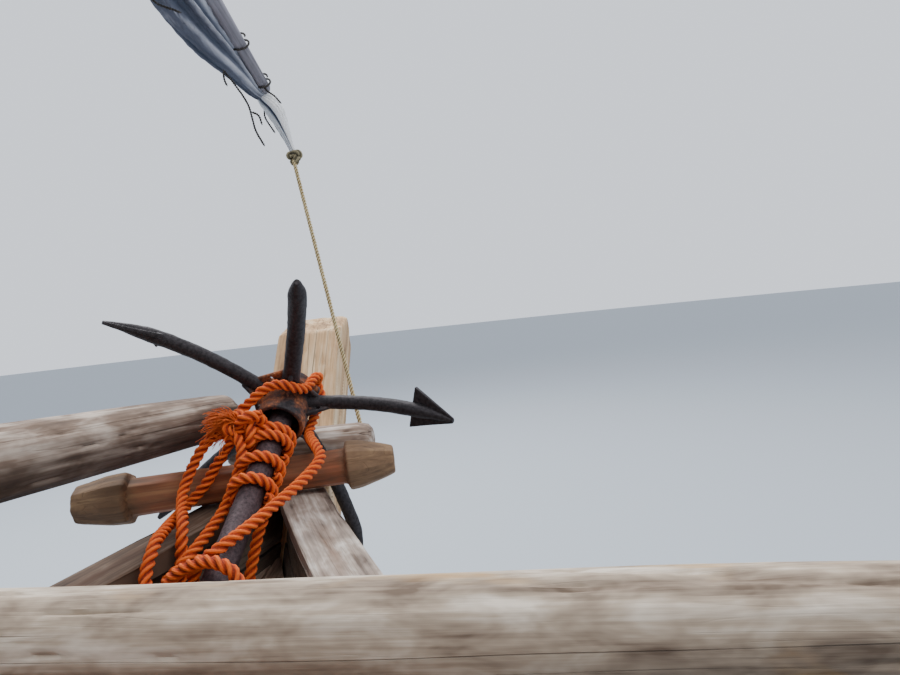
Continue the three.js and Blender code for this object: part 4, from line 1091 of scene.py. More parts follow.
def plank_row(name, low, high, strakes, outer, thickness, even, odd):
    boards = []
    for row in range(strakes):
        bottom, top = between(low, high, row / strakes) + SEAM, between(low, high, (row + 1) / strakes) - SEAM
        breaks = [0.0005, *(even if row % 2 == 0 else odd), 0.999]
        proud = outer + 0.0012 * math.sin(row * 2.3 + low * 9)
        for first, last in zip(breaks, breaks[1:]):
            def place(along, across, first=first, last=last):
                return inside(between(first + BUTT, last - BUTT, along), between(bottom, top, across), proud)
            columns = max(4, round((last - first) * 70))
            board = bent_board(f"{name}_{row}", place, columns, 3, thickness - 0.0006, 0.003,
                               seed=len(boards) + 7 * row + 1, length=(last - first) * 8.0,
                               height=(top - bottom) * 1.5)
            boards += [board, port_copy(board)]
    return smooth(fuse(name, boards), 35)


for row in STRAKES:
    piece = plank_row(*row)
    alike = [node for node in nodes if node.startswith(row[0])]
    stands_for = [node for node in alike if "planks" in node or "strake" in node]
    finish_piece(piece, f"{row[0]}_planks", "hull", PLANK_WOOD, "hull_wood", *stands_for)
    print(row[0], "planks:", len(piece.data.polygons), "faces, for", len(stands_for), "nodes")

# %% [markdown]
# Nails
#
# Iron nails hold each plank to each rib, and they have bled rust. One domed head is made and
# copied to its places, because a repeated shape should be modelled once.

# %% Nail heads
RIBS, NAIL_RADIUS, NAIL_STAGGER = 26, 0.0055, 0.0012


def copies(name, source, matrices):
    """One mesh with a copy of a small one at each place."""
    shape = bmesh.new()
    for matrix in matrices:
        start = len(shape.verts)
        shape.from_mesh(source.data)
        shape.verts.ensure_lookup_table()
        bmesh.ops.transform(shape, matrix=matrix, verts=shape.verts[start:])
    bpy.data.objects.remove(source)
    return mesh_piece(name, shape)


def nail_head(radius):
    nothing_selected()
    bpy.ops.mesh.primitive_cone_add(vertices=8, radius1=radius, radius2=radius * 0.5, depth=radius * 0.7)
    return bpy.context.active_object


def mirrored(vector):
    return Vector((-vector.x, vector.y, vector.z))


def nail_places():
    """Two nails through each strake at every second rib, on both sides."""
    places = []
    for _, low, high, count, outer, *_ in STRAKES:
        for row in range(count):
            for share in (0.25, 0.75):
                u = between(low, high, (row + share) / count)
                for rib in range(1, RIBS + 1, 2):
                    s = -0.006 + 1.006 * rib / RIBS + (NAIL_STAGGER if share > 0.5 else -NAIL_STAGGER)
                    point, deeper = inside(s, u, outer), inside(s, u, outer + 0.01)
                    way = (point - deeper).normalized()
                    if s < 0.97:
                        places += [(point, way), (mirrored(point), mirrored(way))]
    return [Matrix.Translation(point) @ way.to_track_quat("Z", "Y").to_matrix().to_4x4()
            for point, way in places]


nails = copies("plank_nails", nail_head(NAIL_RADIUS), nail_places())
finish_piece(smooth(nails, 40), "plank_nails", "hull", RUSTED, "rusty_iron")
print("nails:", len(nails.data.polygons), "faces")

# %% [markdown]
# Cap rails
#
# A broad board caps the planks all round. Ropes and feet have worn it, most of all at the bow, so
# its top is uneven and its edges are well rounded. It is scarfed from three lengths a side.

# %% Cap rails
RAIL_HEIGHT, RAIL_WIDTH, RAIL_OVERHANG = 0.035, 0.095, 0.014


def rail_place(first, last):
    def place(along, across):
        seat = inside(between(first, last, along), 1, PLANK - WALE)
        outer = seat.x + RAIL_OVERHANG - across * RAIL_WIDTH
        return Vector((max(outer, 0.0005), seat.y, seat.z + 0.0003 + RAIL_HEIGHT))
    return place


rails = []
for number, (first, last) in enumerate(((0.0, 0.31), (0.3102, 0.64), (0.6402, 1.0))):
    board = bent_board(f"rail_{number}", rail_place(first, last), 110, 8, RAIL_HEIGHT, 0.007, seed=number + 3,
                       length=(last - first) * 8.2, height=RAIL_WIDTH)
    wear(board, 0.0035, 0.0012, 0.003)
    rails.append((board, port_copy(board)))
# The port rail takes the darker tones, as painted shade on the same wood.
for number, (side, finish) in enumerate((("starboard", RAIL_WOOD), ("port", DARK_RAIL))):
    rail = smooth(fuse(f"rail_{side}", [pair[number] for pair in rails]), 45)
    finish_piece(rail, f"rail_{side}", "hull", finish, "bleached_wood", f"cap_rail_{side}")
    print("rail", side, len(rail.data.polygons), "faces")

# %% [markdown]
# Decks, thwarts, transom and rudder
#
# These are sawn boards with straight edges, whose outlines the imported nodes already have. A node's
# mesh is copied and merged, cut into boards with two bisect planes each, and bevelled.

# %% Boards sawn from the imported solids


def node_copy(node, name):
    """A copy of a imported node, with its points merged and its flat faces made whole."""
    piece = bpy.data.objects.new(name, nodes[node].data.copy())
    bpy.context.scene.collection.objects.link(piece)
    in_edit(piece, "ALL")
    bpy.ops.mesh.remove_doubles(threshold=0.00005)
    bpy.ops.mesh.dissolve_limited(angle_limit=math.radians(0.8))
    bpy.ops.mesh.customdata_custom_splitnormals_clear()
    out_of_edit()
    return piece


def sawn(name, node, across, cuts, gap, bevel, along, up=Z, seed=0):
    """Cuts a copy of a node into boards, square to a direction."""
    boards = []
    limits = [-20, *cuts, 20]
    for number, (low, high) in enumerate(zip(limits, limits[1:])):
        board = node_copy(node, f"{name}_{number}")
        in_edit(board, "ALL")
        bpy.ops.mesh.bisect(plane_co=across * (low + gap / 2), plane_no=across, use_fill=True,
                            clear_inner=True)
        bpy.ops.mesh.select_all(action="SELECT")
        bpy.ops.mesh.bisect(plane_co=across * (high - gap / 2), plane_no=across, use_fill=True,
                            clear_outer=True)
        out_of_edit()
        if len(board.data.polygons) < 4:
            bpy.data.objects.remove(board)
            continue
        ease_edges(board, bevel, 35)
        set_grain(board, along, up, seed=seed + 3 * number)
        boards.append(board)
    return smooth(fuse(name, boards), 35)


def span(start, end, width):
    """Even cuts between two limits."""
    count = max(1, round((end - start) / width))
    return [between(start, end, step / count) for step in range(1, count)]


POST_WAY = Vector((0, TRANSOM_TOP_Y - KEEL_AFT.y, sheer_height(TRANSOM_TOP_Y) - KEEL_AFT.z)).normalized()
SAWN = [   # name, node, body, across, cuts, gap, bevel, grain, finish, slot
    ("fore_deck_boards", "fore_deck", "hull", X,
     [-0.36, -0.262, -0.178, -0.086, -0.008, 0.072, 0.163, 0.25, 0.345],
     0.004, 0.003, Y, DECK_WOOD, "bleached_wood"),
    ("aft_deck_boards", "aft_deck", "hull", X, span(-1.0, 1.0, 0.14),
     0.004, 0.003, Y, DECK_WOOD, "hull_wood"),
    ("floor_planks", "floor_boards", "hull", X, span(-0.9, 0.9, 0.15),
     0.006, 0.003, Y, DECK_WOOD, "hull_wood"),
    ("mast_thwart_boards", "mast_thwart", "hull", Y, [1.47],
     0.003, 0.005, X, PLANK_WOOD, "hull_wood"),
    ("middle_thwart_boards", "middle_thwart", "hull", Y, [-0.42],
     0.003, 0.005, X, DECK_WOOD, "hull_wood"),
    ("aft_thwart_boards", "aft_thwart", "hull", Y, [-2.27],
     0.003, 0.005, X, DECK_WOOD, "hull_wood"),
    ("transom_boards", "transom", "hull", POST_WAY, span(-0.2, 1.9, 0.21),
     0.003, 0.004, X, PLANK_WOOD, "hull_wood"),
    ("rudder_boards", "rudder_blade", "rudder", POST_WAY.cross(X), span(3.4, 4.6, 0.17),
     0.0015, 0.004, POST_WAY, PLANK_WOOD, "hull_wood"),
]
for name, node, body, across, cuts, gap, bevel, along, finish, slot in SAWN:
    up = X if along == POST_WAY else (POST_WAY if node == "transom" else Z)
    piece = sawn(name, node, across, cuts, gap, bevel, along, up, seed=len(name))
    finish_piece(piece, name, body, finish, slot, node)
    print(name, len(piece.data.polygons), "faces")

# %% [markdown]
# The anchor's crown and shank
#
# The crown is a short wide pipe with a hollow mouth. It starts as a cylinder, whose end is inset and
# extruded inwards, and its rims are bevelled. The shank is a pipe with a collar at its far end.

# %% Crown and shank
CROWN_REACH, CROWN_WALL, CROWN_MOUTH, CROWN_FLOOR, CROWN_END = 0.047, 0.008, -0.065, 0.036, 0.050
CAP_INSET, CAP_RISE = 0.012, 0.006
GUSSET_ROOT, GUSSET_REACH, GUSSET_THICK, GUSSET_TALL, GUSSET_DROP = 0.038, 0.058, 0.009, 0.056, 0.012
WEB_ROOT, WEB_WIDTH, WEB_THICK = 0.036, 0.062, 0.010
WEBS = [(0.5, 0.075), (1.5, 0.070), (4.5, 0.062)]   # fifth of a turn, reach


def hollow_crown():
    nothing_selected()
    depth = CROWN_END - CROWN_MOUTH
    bpy.ops.mesh.primitive_cylinder_add(vertices=48, radius=CROWN_REACH, depth=depth, end_fill_type="NGON")
    piece = bpy.context.active_object
    piece.name = "crown_pipe"
    shape = in_edit(piece)
    pick(shape, lambda face: face.normal.z < -0.9)
    bpy.ops.mesh.inset(thickness=CROWN_WALL)
    bpy.ops.mesh.extrude_region_move(TRANSFORM_OT_translate={"value": (0, 0, CROWN_FLOOR - CROWN_MOUTH)})
    shape = bmesh.from_edit_mesh(piece.data)
    pick(shape, lambda face: face.normal.z > 0.9 and face.calc_center_median().z > 0.9 * depth / 2)
    bpy.ops.mesh.inset(thickness=CAP_INSET)
    bpy.ops.mesh.extrude_region_move(TRANSFORM_OT_translate={"value": (0, 0, CAP_RISE)})
    bpy.ops.transform.resize(value=(0.8, 0.8, 1), center_override=(0, 0, depth / 2))
    out_of_edit()
    ease_edges(piece, 0.0022, 40)
    divide_long_edges(piece, 0.006)
    middle = CROWN + ANCHOR_WAY * ((CROWN_END + CROWN_MOUTH) / 2)
    piece.matrix_world = turned_to(middle, ANCHOR_SIDE, -ANCHOR_UP, ANCHOR_WAY)
    return settle(piece)


def plate(place):
    """A cube whose corners are put in place by a function."""
    nothing_selected()
    bpy.ops.mesh.primitive_cube_add(size=1)
    piece = bpy.context.active_object
    for vertex in piece.data.vertices:
        vertex.co = place(*vertex.co)
    return piece


def drill(piece, radius, place, turn=(0, 0, 0)):
    """Makes a round hole through a plate."""
    nothing_selected()
    bpy.ops.mesh.primitive_cylinder_add(vertices=16, radius=radius, depth=0.05, location=place, rotation=turn)
    cut_away(piece, bpy.context.active_object)


def gusset(direction):
    """A plate between the crown and an arm's root, with a hole through it."""
    piece = plate(lambda x, y, z: (GUSSET_ROOT + GUSSET_REACH * (x + 0.5), GUSSET_THICK * y,
                                   GUSSET_TALL * z - GUSSET_DROP))
    shape = in_edit(piece)
    pick(shape, lambda face: face.normal.x > 0.9)
    bpy.ops.transform.resize(value=(1, 0.8, 0.35), center_override=(0.1, 0, 0.004))
    out_of_edit()
    ease_edges(piece, 0.003, 40)
    drill(piece, 0.0048, (0.066, 0, -0.018), (math.pi / 2, 0, 0))
    piece.matrix_world = turned_to(CROWN, direction, ANCHOR_WAY.cross(direction), ANCHOR_WAY)
    return settle(piece)


def arm_way(fifth):
    return spoke(ANCHOR_SIDE, ANCHOR_UP, math.radians(66 + 72 * fifth))


def lump(place, size):
    """A blob of weld or scale."""
    nothing_selected()
    bpy.ops.mesh.primitive_ico_sphere_add(subdivisions=3, radius=size, location=place)
    piece = bpy.context.active_object
    for vertex in piece.data.vertices:
        vertex.co *= 1 + 0.35 * noise.noise(vertex.co * 90 + Vector(place) * 10)
    return settle(piece)


def web(direction, reach):
    """A plate between two arms' roots, with a hole."""
    piece = plate(lambda x, y, z: (between(WEB_ROOT, reach, x + 0.5), WEB_WIDTH * y, WEB_THICK * z))
    ease_edges(piece, 0.004, 40)
    drill(piece, 0.0055, (reach - 0.010, 0, 0))
    root = CROWN + ANCHOR_WAY * 0.004
    piece.matrix_world = turned_to(root, direction, ANCHOR_WAY.cross(direction), ANCHOR_WAY)
    return settle(piece)


crown_parts = [hollow_crown()]
crown_parts += [web(arm_way(fifth), reach) for fifth, reach in WEBS]
crown_parts += [gusset(arm_way(fifth)) for fifth in range(5)]
for fifth in range(5):
    out = arm_way(fifth)
    for side in (-1, 1):
        weld = CROWN + out * 0.051 + ANCHOR_WAY.cross(out) * 0.012 * side
        crown_parts.append(lump(weld + ANCHOR_WAY * (0.012 - 0.016 * side), 0.0095))
for reach, rise, size in ((0.062, 0.016, 0.015), (0.078, 0.002, 0.012)):
    crown_parts.append(lump(CROWN + arm_way(1) * reach + ANCHOR_WAY * rise, size))
crown = fuse("anchor_crown_iron", crown_parts)
for vertex in crown.data.vertices:
    vertex.co += vertex.normal * 0.0008 * noise.noise(vertex.co * 130)
finish_piece(smooth(crown, 50), "anchor_crown_iron", "hull", RUSTED, "rusty_iron", "anchor_crown")

SHANK_STATIONS = [(0, 0.022), (0.30, 0.0222), (0.617, 0.022), (0.621, 0.029), (0.643, 0.0285)]
shank = timber("anchor_pipe", axis_of("anchor_shank", -ANCHOR_WAY), SHANK_STATIONS, 48, 0.012, seed=9)
wear(shank, 0.0006, 0.0002)
finish_piece(smooth(shank, 40), "anchor_pipe", "hull", PIPE_IRON, "rusty_iron", "anchor_shank")
print("crown and shank:", len(crown.data.polygons) + len(shank.data.polygons), "faces")

# %% [markdown]
# Arms and flukes
#
# Five bars curve out from the crown. Each is a curve with a round section and a radius of its own
# at every point, made a mesh and then roughened. Two of them end in flat arrowheads, which are
# plates whose ends are drawn in to a point, with a barb bent up at the back.

# %% Arms
ARM_REACH, ARM_SWEEP = 0.347, 0.069
ARMS = [   # name, fifth of a turn, degrees bent aside, radius, share of the reach, way the fluke is wide
    ("top", 0, 1.6, 0.0165, 0.935, None),
    ("left", 1, -6.5, 0.014, 1.03, "along"),
    ("lower_left", 2, 3, 0.014, 1.14, None),
    ("lower_right", 3, 1, 0.014, 1.04, None),
    ("right", 4, 2, 0.014, 0.965, "around"),
]
FLUKE_LENGTH, FLUKE_HALF, FLUKE_THICK = 0.092, 0.041, 0.009
FLUKE_TURNS = {"along": math.radians(43), "around": math.radians(-24)}
BARB = [(0.080, 0, 0.006), (0.092, 0.014, 0.004), (0.100, 0.022, 0.0015)]   # way back, way up, radius


def curved_bar(name, route, radii, sides=6):
    """A bar along a route, as a curve that is made a mesh."""
    curve = bpy.data.curves.new(name, "CURVE")
    curve.dimensions = "3D"
    curve.bevel_depth, curve.bevel_resolution, curve.use_fill_caps = 1.0, sides, True
    spline = curve.splines.new("POLY")
    spline.points.add(len(route) - 1)
    for point, place, radius in zip(spline.points, route, radii):
        point.co, point.radius = (*place, 1), radius
    piece = bpy.data.objects.new(name, curve)
    bpy.context.scene.collection.objects.link(piece)
    only(piece)
    bpy.ops.object.convert(target="MESH")
    return recalculate(bpy.context.active_object)


def arm_route(fifth, share, count=34):
    way = arm_way(fifth)
    reach = ARM_REACH * share
    root = CROWN + way * (CROWN_REACH - 0.004)
    middle = CROWN + way * reach * 0.62 + ANCHOR_WAY * 0.006
    tip = CROWN + way * reach - ANCHOR_WAY * ARM_SWEEP * share
    route = []
    for step in range(count + 1):
        t = step / count
        route.append(root * (1 - t) ** 2 + middle * 2 * t * (1 - t) + tip * t * t)
    return route


def fluke(tip, ahead, side):
    """A flat arrowhead with a hollow in each face."""
    piece = plate(lambda x, y, z: (2 * FLUKE_HALF * x, FLUKE_LENGTH * (y - 0.5), FLUKE_THICK * z))
    shape = in_edit(piece)
    pick(shape, lambda face: face.normal.y > 0.9)
    bpy.ops.transform.resize(value=(0.12, 1, 0.6), center_override=(0, 0, 0))
    shape = bmesh.from_edit_mesh(piece.data)
    pick(shape, lambda face: abs(face.normal.z) > 0.9)
    bpy.ops.mesh.inset(thickness=0.009, depth=-0.0016, use_individual=True)
    out_of_edit()
    ease_edges(piece, 0.0016, 30)
    modify(piece, "SUBSURF", levels=1, render_levels=1, subdivision_type="SIMPLE")
    piece.matrix_world = turned_to(tip, side, ahead, side.cross(ahead))
    return settle(piece)


for name, fifth, aside, radius, share, wide in ARMS:
    fifth += aside / 72
    route = arm_route(fifth, share)
    radii = []
    for step in range(len(route)):
        t = step / (len(route) - 1)
        drawn = min(1, 0.25 + (1 - t) / 0.34) if wide else min(1, (1.03 - t) / 0.16) ** 0.7
        radii.append(radius * drawn * (1.12 - 0.12 * min(t / 0.12, 1)))
    parts = [curved_bar(f"arm_{name}", route, radii)]
    if wide:
        ahead = (route[-1] - route[-2]).normalized()
        sideways = arm_way(fifth).cross(ANCHOR_WAY).normalized()
        side = sideways if wide == "around" else ahead.cross(sideways).normalized()
        side = (side - ahead * side.dot(ahead)).normalized()
        side = Matrix.Rotation(FLUKE_TURNS[wide], 3, ahead) @ side
        parts.append(fluke(route[-1], ahead, side))
        barb = [route[-1] - ahead * back + side.cross(ahead) * rise for back, rise, _ in BARB]
        parts.append(curved_bar("barb", barb, [thick for *_, thick in BARB], 3))
    piece = fuse(f"arm_{name}", parts)
    for vertex in piece.data.vertices:
        vertex.co += vertex.normal * 0.0010 * noise.noise(vertex.co * 75)
    finish_piece(smooth(piece, 50), f"arm_{name}", "hull", IRON, "rusty_iron", f"anchor_arm_{name}")
print("arms:", ", ".join(row[0] for row in ARMS))

# %% [markdown]
# The rope's finish
#
# Every free rope gets the orange rope's finish and stands in for its imported nodes, and the
# lengths of the cable and the bights are measured. The hitches and the knot go with it.

# %% The rope's finish and facts
for piece, name, nodes_for in ((hitches, "anchor_hitches", ()), (knot, "anchor_knot", ()),
                               (cable, "anchor_cable", ("anchor_rope", "anchor_rope_coil")),
                               (bights, "anchor_rope_bights", ("anchor_bights",))):
    finish_piece(piece, name, "hull", ORANGE_ROPE, "orange_rope", *nodes_for)
CABLE_LENGTH, BIGHTS_LENGTH = round(route_length(cable_route), 2), round(route_length(bights_route), 2)
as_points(cable_route[::3] + [cable_route[-1]])
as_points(bights_route[::3] + [bights_route[-1]])

# %% [markdown]
# The furled sail
#
# The yard is lowered part-way and the sail is gathered under it. Gathered canvas shows lengthwise
# folds with sharp valleys and round crowns, and its bundle is drawn in where gaskets tie it.
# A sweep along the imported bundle's own line carries a section whose radius is folded by noise.

# %% The yard's line and the bundle along it
YARD_HEEL, YARD_LENGTH = Vector((-0.020, 4.116, 2.080)), 8.9
YARD_SLOPE, YARD_DRIFT = math.radians(23.5), math.radians(5.2)
YARD_WAY = Vector((-math.cos(YARD_SLOPE) * math.sin(YARD_DRIFT),
                   -math.cos(YARD_SLOPE) * math.cos(YARD_DRIFT), math.sin(YARD_SLOPE)))
YARD_UP = (Z - YARD_WAY * YARD_WAY.z).normalized()
YARD_SIDE = YARD_WAY.cross(YARD_UP).normalized()
SPAR_LIFT, LOWER_END, UPPER_START = 0.081, 5.6, 4.3   # the upper spar lies on the lower one's end
LOWER_RADII = [(0, 0.010), (0.025, 0.015), (0.6, 0.024), (1.7, 0.042), (2.8, 0.052), (LOWER_END, 0.034)]
UPPER_RADII = [(UPPER_START, 0.034), (5.6, 0.047), (7.0, 0.036), (8.86, 0.020), (8.9, 0.012)]
SAIL_END = YARD_LENGTH - 0.42
SAIL_RADII = [(0, 0.013), (0.12, 0.026), (0.5, 0.041), (1.5, 0.060), (4.2, 0.074), (7.0, 0.052),
              (SAIL_END, 0.016)]
TACK_KNOT = Vector((0.016, 4.148, 1.936))
SAIL_WAY = (YARD_SIDE * 0.8 - YARD_UP * 0.6).normalized()


def yard_at(along):
    return YARD_HEEL + YARD_WAY * along


def radius_at(stations, along):
    """The radius at a place, from a table of places and radii."""
    for (first, start), (last, end) in zip(stations, stations[1:]):
        if along <= last:
            return between(start, end, max(along - first, 0) / (last - first))
    return stations[-1][1]


def sail_centre(along):
    """The bundle's middle, beside the lower spar and then beside the upper one."""
    free = eased(5.66, 6.5, along)
    lower = radius_at(LOWER_RADII, min(along, LOWER_END))
    reach = between(lower, radius_at(UPPER_RADII, max(along, UPPER_START)), free)
    reach += radius_at(SAIL_RADII, min(along + 0.18, SAIL_END)) + 0.0015 + 0.0021 * free
    return yard_at(along) + YARD_UP * SPAR_LIFT * free + SAIL_WAY * reach


GASKETS = [0.74 + 0.62 * number for number in range(12)]


def folded_bundle(name, line, radius_of, sides, depth, twist, seed, pinches=()):
    """A closed bundle of cloth along a line, with folds that run along it."""
    shape = bmesh.new()
    fold_and_shade_layer = shape.verts.layers.float.new("fold")
    across = Z
    rings, run = [], 0.0
    for index, point in enumerate(line):
        before, after = line[max(index - 1, 0)], line[min(index + 1, len(line) - 1)]
        way = (after - before).normalized()
        across = (across - way * across.dot(way)).normalized()
        other = way.cross(across)
        run += (point - before).length
        drawn = min([1.0] + [0.80 + 0.20 * min(abs(run - place) / 0.05, 1) for place in pinches])
        ring = []
        for side in range(sides):
            angle = 2 * math.pi * side / sides
            turned = angle + twist * run
            about = Vector((math.cos(turned) * 2.1, math.sin(turned) * 2.1, run * 1.35 + seed))
            crest = 1 - abs(noise.noise(about)) * 2.6
            crease = 1 - abs(noise.noise(about * 2.3 + Vector((5, 1, 3)))) * 2.2
            fold = max(-0.9, min(1, 0.72 * crest + 0.28 * crease))
            reach = radius_of(run) * drawn * (1 - depth + depth * fold)
            out = spoke(across, other, angle)
            vertex = shape.verts.new(point + out * reach)
            # Painted shade: the stored value falls in the creases and on the bundle's side away from the
            # yard.
            vertex[fold_and_shade_layer] = 0.5 + 0.5 * fold - 0.34 * eased(0.0, 0.5, out.dot(SAIL_WAY))
            ring.append(vertex)
        rings.append(ring)
    skin(shape, rings)
    return smooth(mesh_piece(name, shape), 70)


print("gaskets at", [round(place, 2) for place in GASKETS])

# %% [markdown]
# The sail's two ends
#
# Near the heel the bundle hugs the thin pole and tapers, so its line and its radii are denser there.
# A clean white corner hangs from it to the knot above the tack line, and is a bundle of its own.

# %% Sail and white cloth
NEAR_END = 1.2
NEAR_RADII = [(0, 0.012), (0.06, 0.020), (0.12, 0.028), (0.22, 0.044), (0.34, 0.054), (0.7, 0.057),
              (NEAR_END, 0.069)]
NEAR_ALONG = [0.0, 0.03, 0.08, 0.14, 0.22, 0.32, 0.45, 0.62, 0.85]


def near_centre(along):
    """The bundle's middle close to the heel, where it hugs the pole."""
    reach = radius_at(LOWER_RADII, along) + 0.85 * radius_at(NEAR_RADII, along)
    return yard_at(along) + SAIL_WAY * reach


far = [sail_centre(between(NEAR_END, SAIL_END, step / 16)) for step in range(17)]
sail_route = through([near_centre(-0.012), *(near_centre(along) for along in NEAR_ALONG), *far], 0.018)


def sail_radius(run):
    return radius_at(NEAR_RADII, run) if run < NEAR_END else 1.2 * radius_at(SAIL_RADII, run)


sail = folded_bundle("furled_canvas", sail_route, sail_radius, 84, 0.36, 2.2, 3.0, GASKETS)
finish_piece(sail, "furled_canvas", "yard", SAILCLOTH, "sailcloth", "furled_sail")
TIP_LINE = [TACK_KNOT + Vector((0.006, 0, -0.012)), TACK_KNOT + Vector((-0.010, -0.010, 0.050)),
            TACK_KNOT + Vector((-0.026, -0.022, 0.100)), near_centre(0.0), near_centre(0.03)]
TIP_RADII = [(0, 0.006), (0.03, 0.009), (0.08, 0.018), (0.115, 0.025), (0.145, 0.021), (0.17, 0.011),
             (0.21, 0.007)]
tip = folded_bundle("white_tack_cloth", through(TIP_LINE, 0.006), lambda run: radius_at(TIP_RADII, run),
                    60, 0.34, 5.0, 8.0)
finish_piece(tip, "white_tack_cloth", "yard", WHITE_CLOTH, "sailcloth")
print("sail:", len(sail.data.polygons) + len(tip.data.polygons), "faces")

# %% [markdown]
# Lines on the yard
#
# Dark gaskets tie the bundle to the yard, each two turns of thin line, and a few loose ends hang
# from the nearest ones. The tack knot gathers the cloth's corner above the tack line.

# %% Gaskets and the tack knot
GASKET_LINE, THIN_LINE, TACK_KNOT_ROPE = 0.0042, 0.0030, 0.0088   # radii


def loop_route(centre, way, reach, turns, rise):
    """Turns round a bundle, a little wider at its two sides."""
    side = way.cross(Z).normalized()
    top = side.cross(way)
    points = []
    count = round(turns * 18)
    for step in range(count + 1):
        angle = 2 * math.pi * turns * step / count
        share = step / count - 0.5
        wide = reach * (1 + 0.10 * math.cos(angle * 2))
        points.append(centre + way * rise * share + spoke(side, top, angle) * wide)
    return through(points, 0.006)


gaskets = []
for number, along in enumerate(GASKETS):
    spar, cloth = radius_at(LOWER_RADII, along), radius_at(SAIL_RADII, along)
    lift = SPAR_LIFT * eased(UPPER_START, 6.5, along)
    if along > LOWER_END:
        spar = radius_at(UPPER_RADII, along)
    centre = yard_at(along) + YARD_UP * lift + SAIL_WAY * (spar + cloth) * 0.5
    reach = (spar + cloth) * 0.5 + max(spar, cloth) * 0.62 + 0.004
    route = loop_route(centre, YARD_WAY, reach, 2.1, 0.016)
    gaskets.append(laid_rope(f"gasket_{number}", route, GASKET_LINE, 8))
LASHINGS = [(0.155, 0.030), (0.030, 0.026)]   # place along the pole, and rise of a turn and a half round it
for number, (along, rise) in enumerate(LASHINGS):
    route = loop_route(yard_at(along), YARD_WAY, radius_at(LOWER_RADII, along) + THIN_LINE, 1.5, rise)
    gaskets.append(laid_rope(f"lashing_{number}", route, THIN_LINE, 8))
HANGING = [   # loose ends of thin line
    [(-0.05, 3.9, 2.06), (-0.025, 3.9, 2.02), (-0.005, 3.9, 1.98), (0.005, 3.9, 1.925), (0.02, 3.9, 1.89)],
    [(0, 3.9, 1.965), (0.015, 3.9, 1.955), (0.02, 3.9, 1.935)],
    [(-0.05, 3.9, 2.055), (-0.05, 3.9, 2.04), (-0.045, 3.9, 2.025)],
    [(-0.035, 4.13, 2.045), (-0.035, 4.13, 2.02), (-0.015, 4.13, 1.98)],
    [(-0.1, 3.69, 2.125), (-0.085, 3.69, 2.11), (-0.065, 3.69, 2.1), (-0.045, 3.69, 2.09)],
    [(-0.015, 4.085, 2.1), (-0.015, 4.085, 2.075), (0.005, 4.085, 2.055), (0.02, 4.085, 2.035)],
]
for number, points in enumerate(HANGING):
    gaskets.append(laid_rope(f"line_end_{number}", through(points), THIN_LINE, 8))
gasket_lines = fuse("gaskets", gaskets)
finish_piece(gasket_lines, "gaskets", "yard", DARK_LINE, "rope")
tack_turns = knot_route(TACK_KNOT + Vector((0.006, -0.002, -0.016)), 0.0046)
tack_knot = laid_rope("tack_knot", tack_turns, TACK_KNOT_ROPE, 16)
finish_piece(tack_knot, "tack_knot", "yard", KNOT_ROPE, "rope")
print("gaskets:", len(gasket_lines.data.polygons), "faces")

# %% [markdown]
# Mast
#
# The mast is a tapered pole that leans forward. A slot is cut through its head for the sheave, and
# the sheave's pin crosses the slot.

# %% Mast
MAST_FOOT_Y, MAST_TOP, MAST_THICK, MAST_RAKE = 1.350, 5.150, 0.074, math.radians(6)
SHEAVE_DROP, SHEAVE_RADIUS, SHEAVE_GROOVE = 0.130, 0.064, 0.007
SLOT_SIZE, PIN_HALF, PIN_RADIUS = (0.032, 0.24, 0.158), 0.046, 0.009
mast_foot = Vector((0, MAST_FOOT_Y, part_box("mast")[0].z))
MAST_WAY = Vector((0, math.sin(MAST_RAKE), math.cos(MAST_RAKE)))
mast_length = (MAST_TOP - mast_foot.z) / MAST_WAY.z
MAST_STATIONS = [(0, 0.062), (0.02, 0.068), (0.9, MAST_THICK), (2.6, 0.068), (mast_length - 0.26, 0.052),
                 (mast_length - 0.02, 0.049), (mast_length - 0.002, 0.040)]
mast_line = (mast_foot, mast_foot + MAST_WAY * mast_length, X)
mast = timber("mast_pole", mast_line, MAST_STATIONS, 48, 0.03, seed=12)
wear(mast, 0.003, 0.001, 0.003)
sheave_centre = mast_foot + MAST_WAY * ((MAST_TOP - SHEAVE_DROP - mast_foot.z) / MAST_WAY.z)
nothing_selected()
bpy.ops.mesh.primitive_cube_add(size=1, location=(0, sheave_centre.y, sheave_centre.z + 0.007))
slot = bpy.context.active_object
slot.scale = SLOT_SIZE
cut_away(mast, settle(slot))
pin_line = (sheave_centre - X * PIN_HALF, sheave_centre + X * PIN_HALF, Z)
pin = timber("sheave_pin", pin_line,
             [(0, 0.0078), (0.0015, PIN_RADIUS), (0.0905, PIN_RADIUS), (0.092, 0.0078)], 16, 0.01)
mast = fuse("mast_pole", [mast, pin])
finish_piece(smooth(mast, 45), "mast_pole", "hull", SPAR_WOOD, "dark_wood", "mast")
print("mast:", round(mast_length, 3), "m,", len(mast.data.polygons), "faces")

# %% [markdown]
# Taut lines
#
# Two shrouds a side, the halyard, the parrel and the tack line are taut laid rope along the packed
# bars' lines. The halyard goes over the sheave, so a part of its route is half a circle.

# %% Shrouds, tack line, halyard and parrel
RIGGING_RADIUS, TACK_RADIUS, PARREL_RADIUS = 0.010, 0.0055, 0.011
TAUT = [   # node, body, radius
    ("shroud_fore_starboard", "hull", RIGGING_RADIUS),
    ("shroud_fore_port", "hull", RIGGING_RADIUS),
    ("shroud_aft_starboard", "hull", RIGGING_RADIUS),
    ("shroud_aft_port", "hull", RIGGING_RADIUS),
    ("tack_line", "tack", TACK_RADIUS),
]
for node, body, radius in TAUT:
    start, end, corner = axis_of(node, (0, 0, 1))
    route = through([start, (start + end) / 2, end], max(0.0045, radius * 0.7))
    piece = laid_rope(f"{node}_rope", route, radius, 12)
    finish_piece(piece, f"{node}_rope", body, TAN_ROPE, "rope", node)
print("taut lines:", len(TAUT))

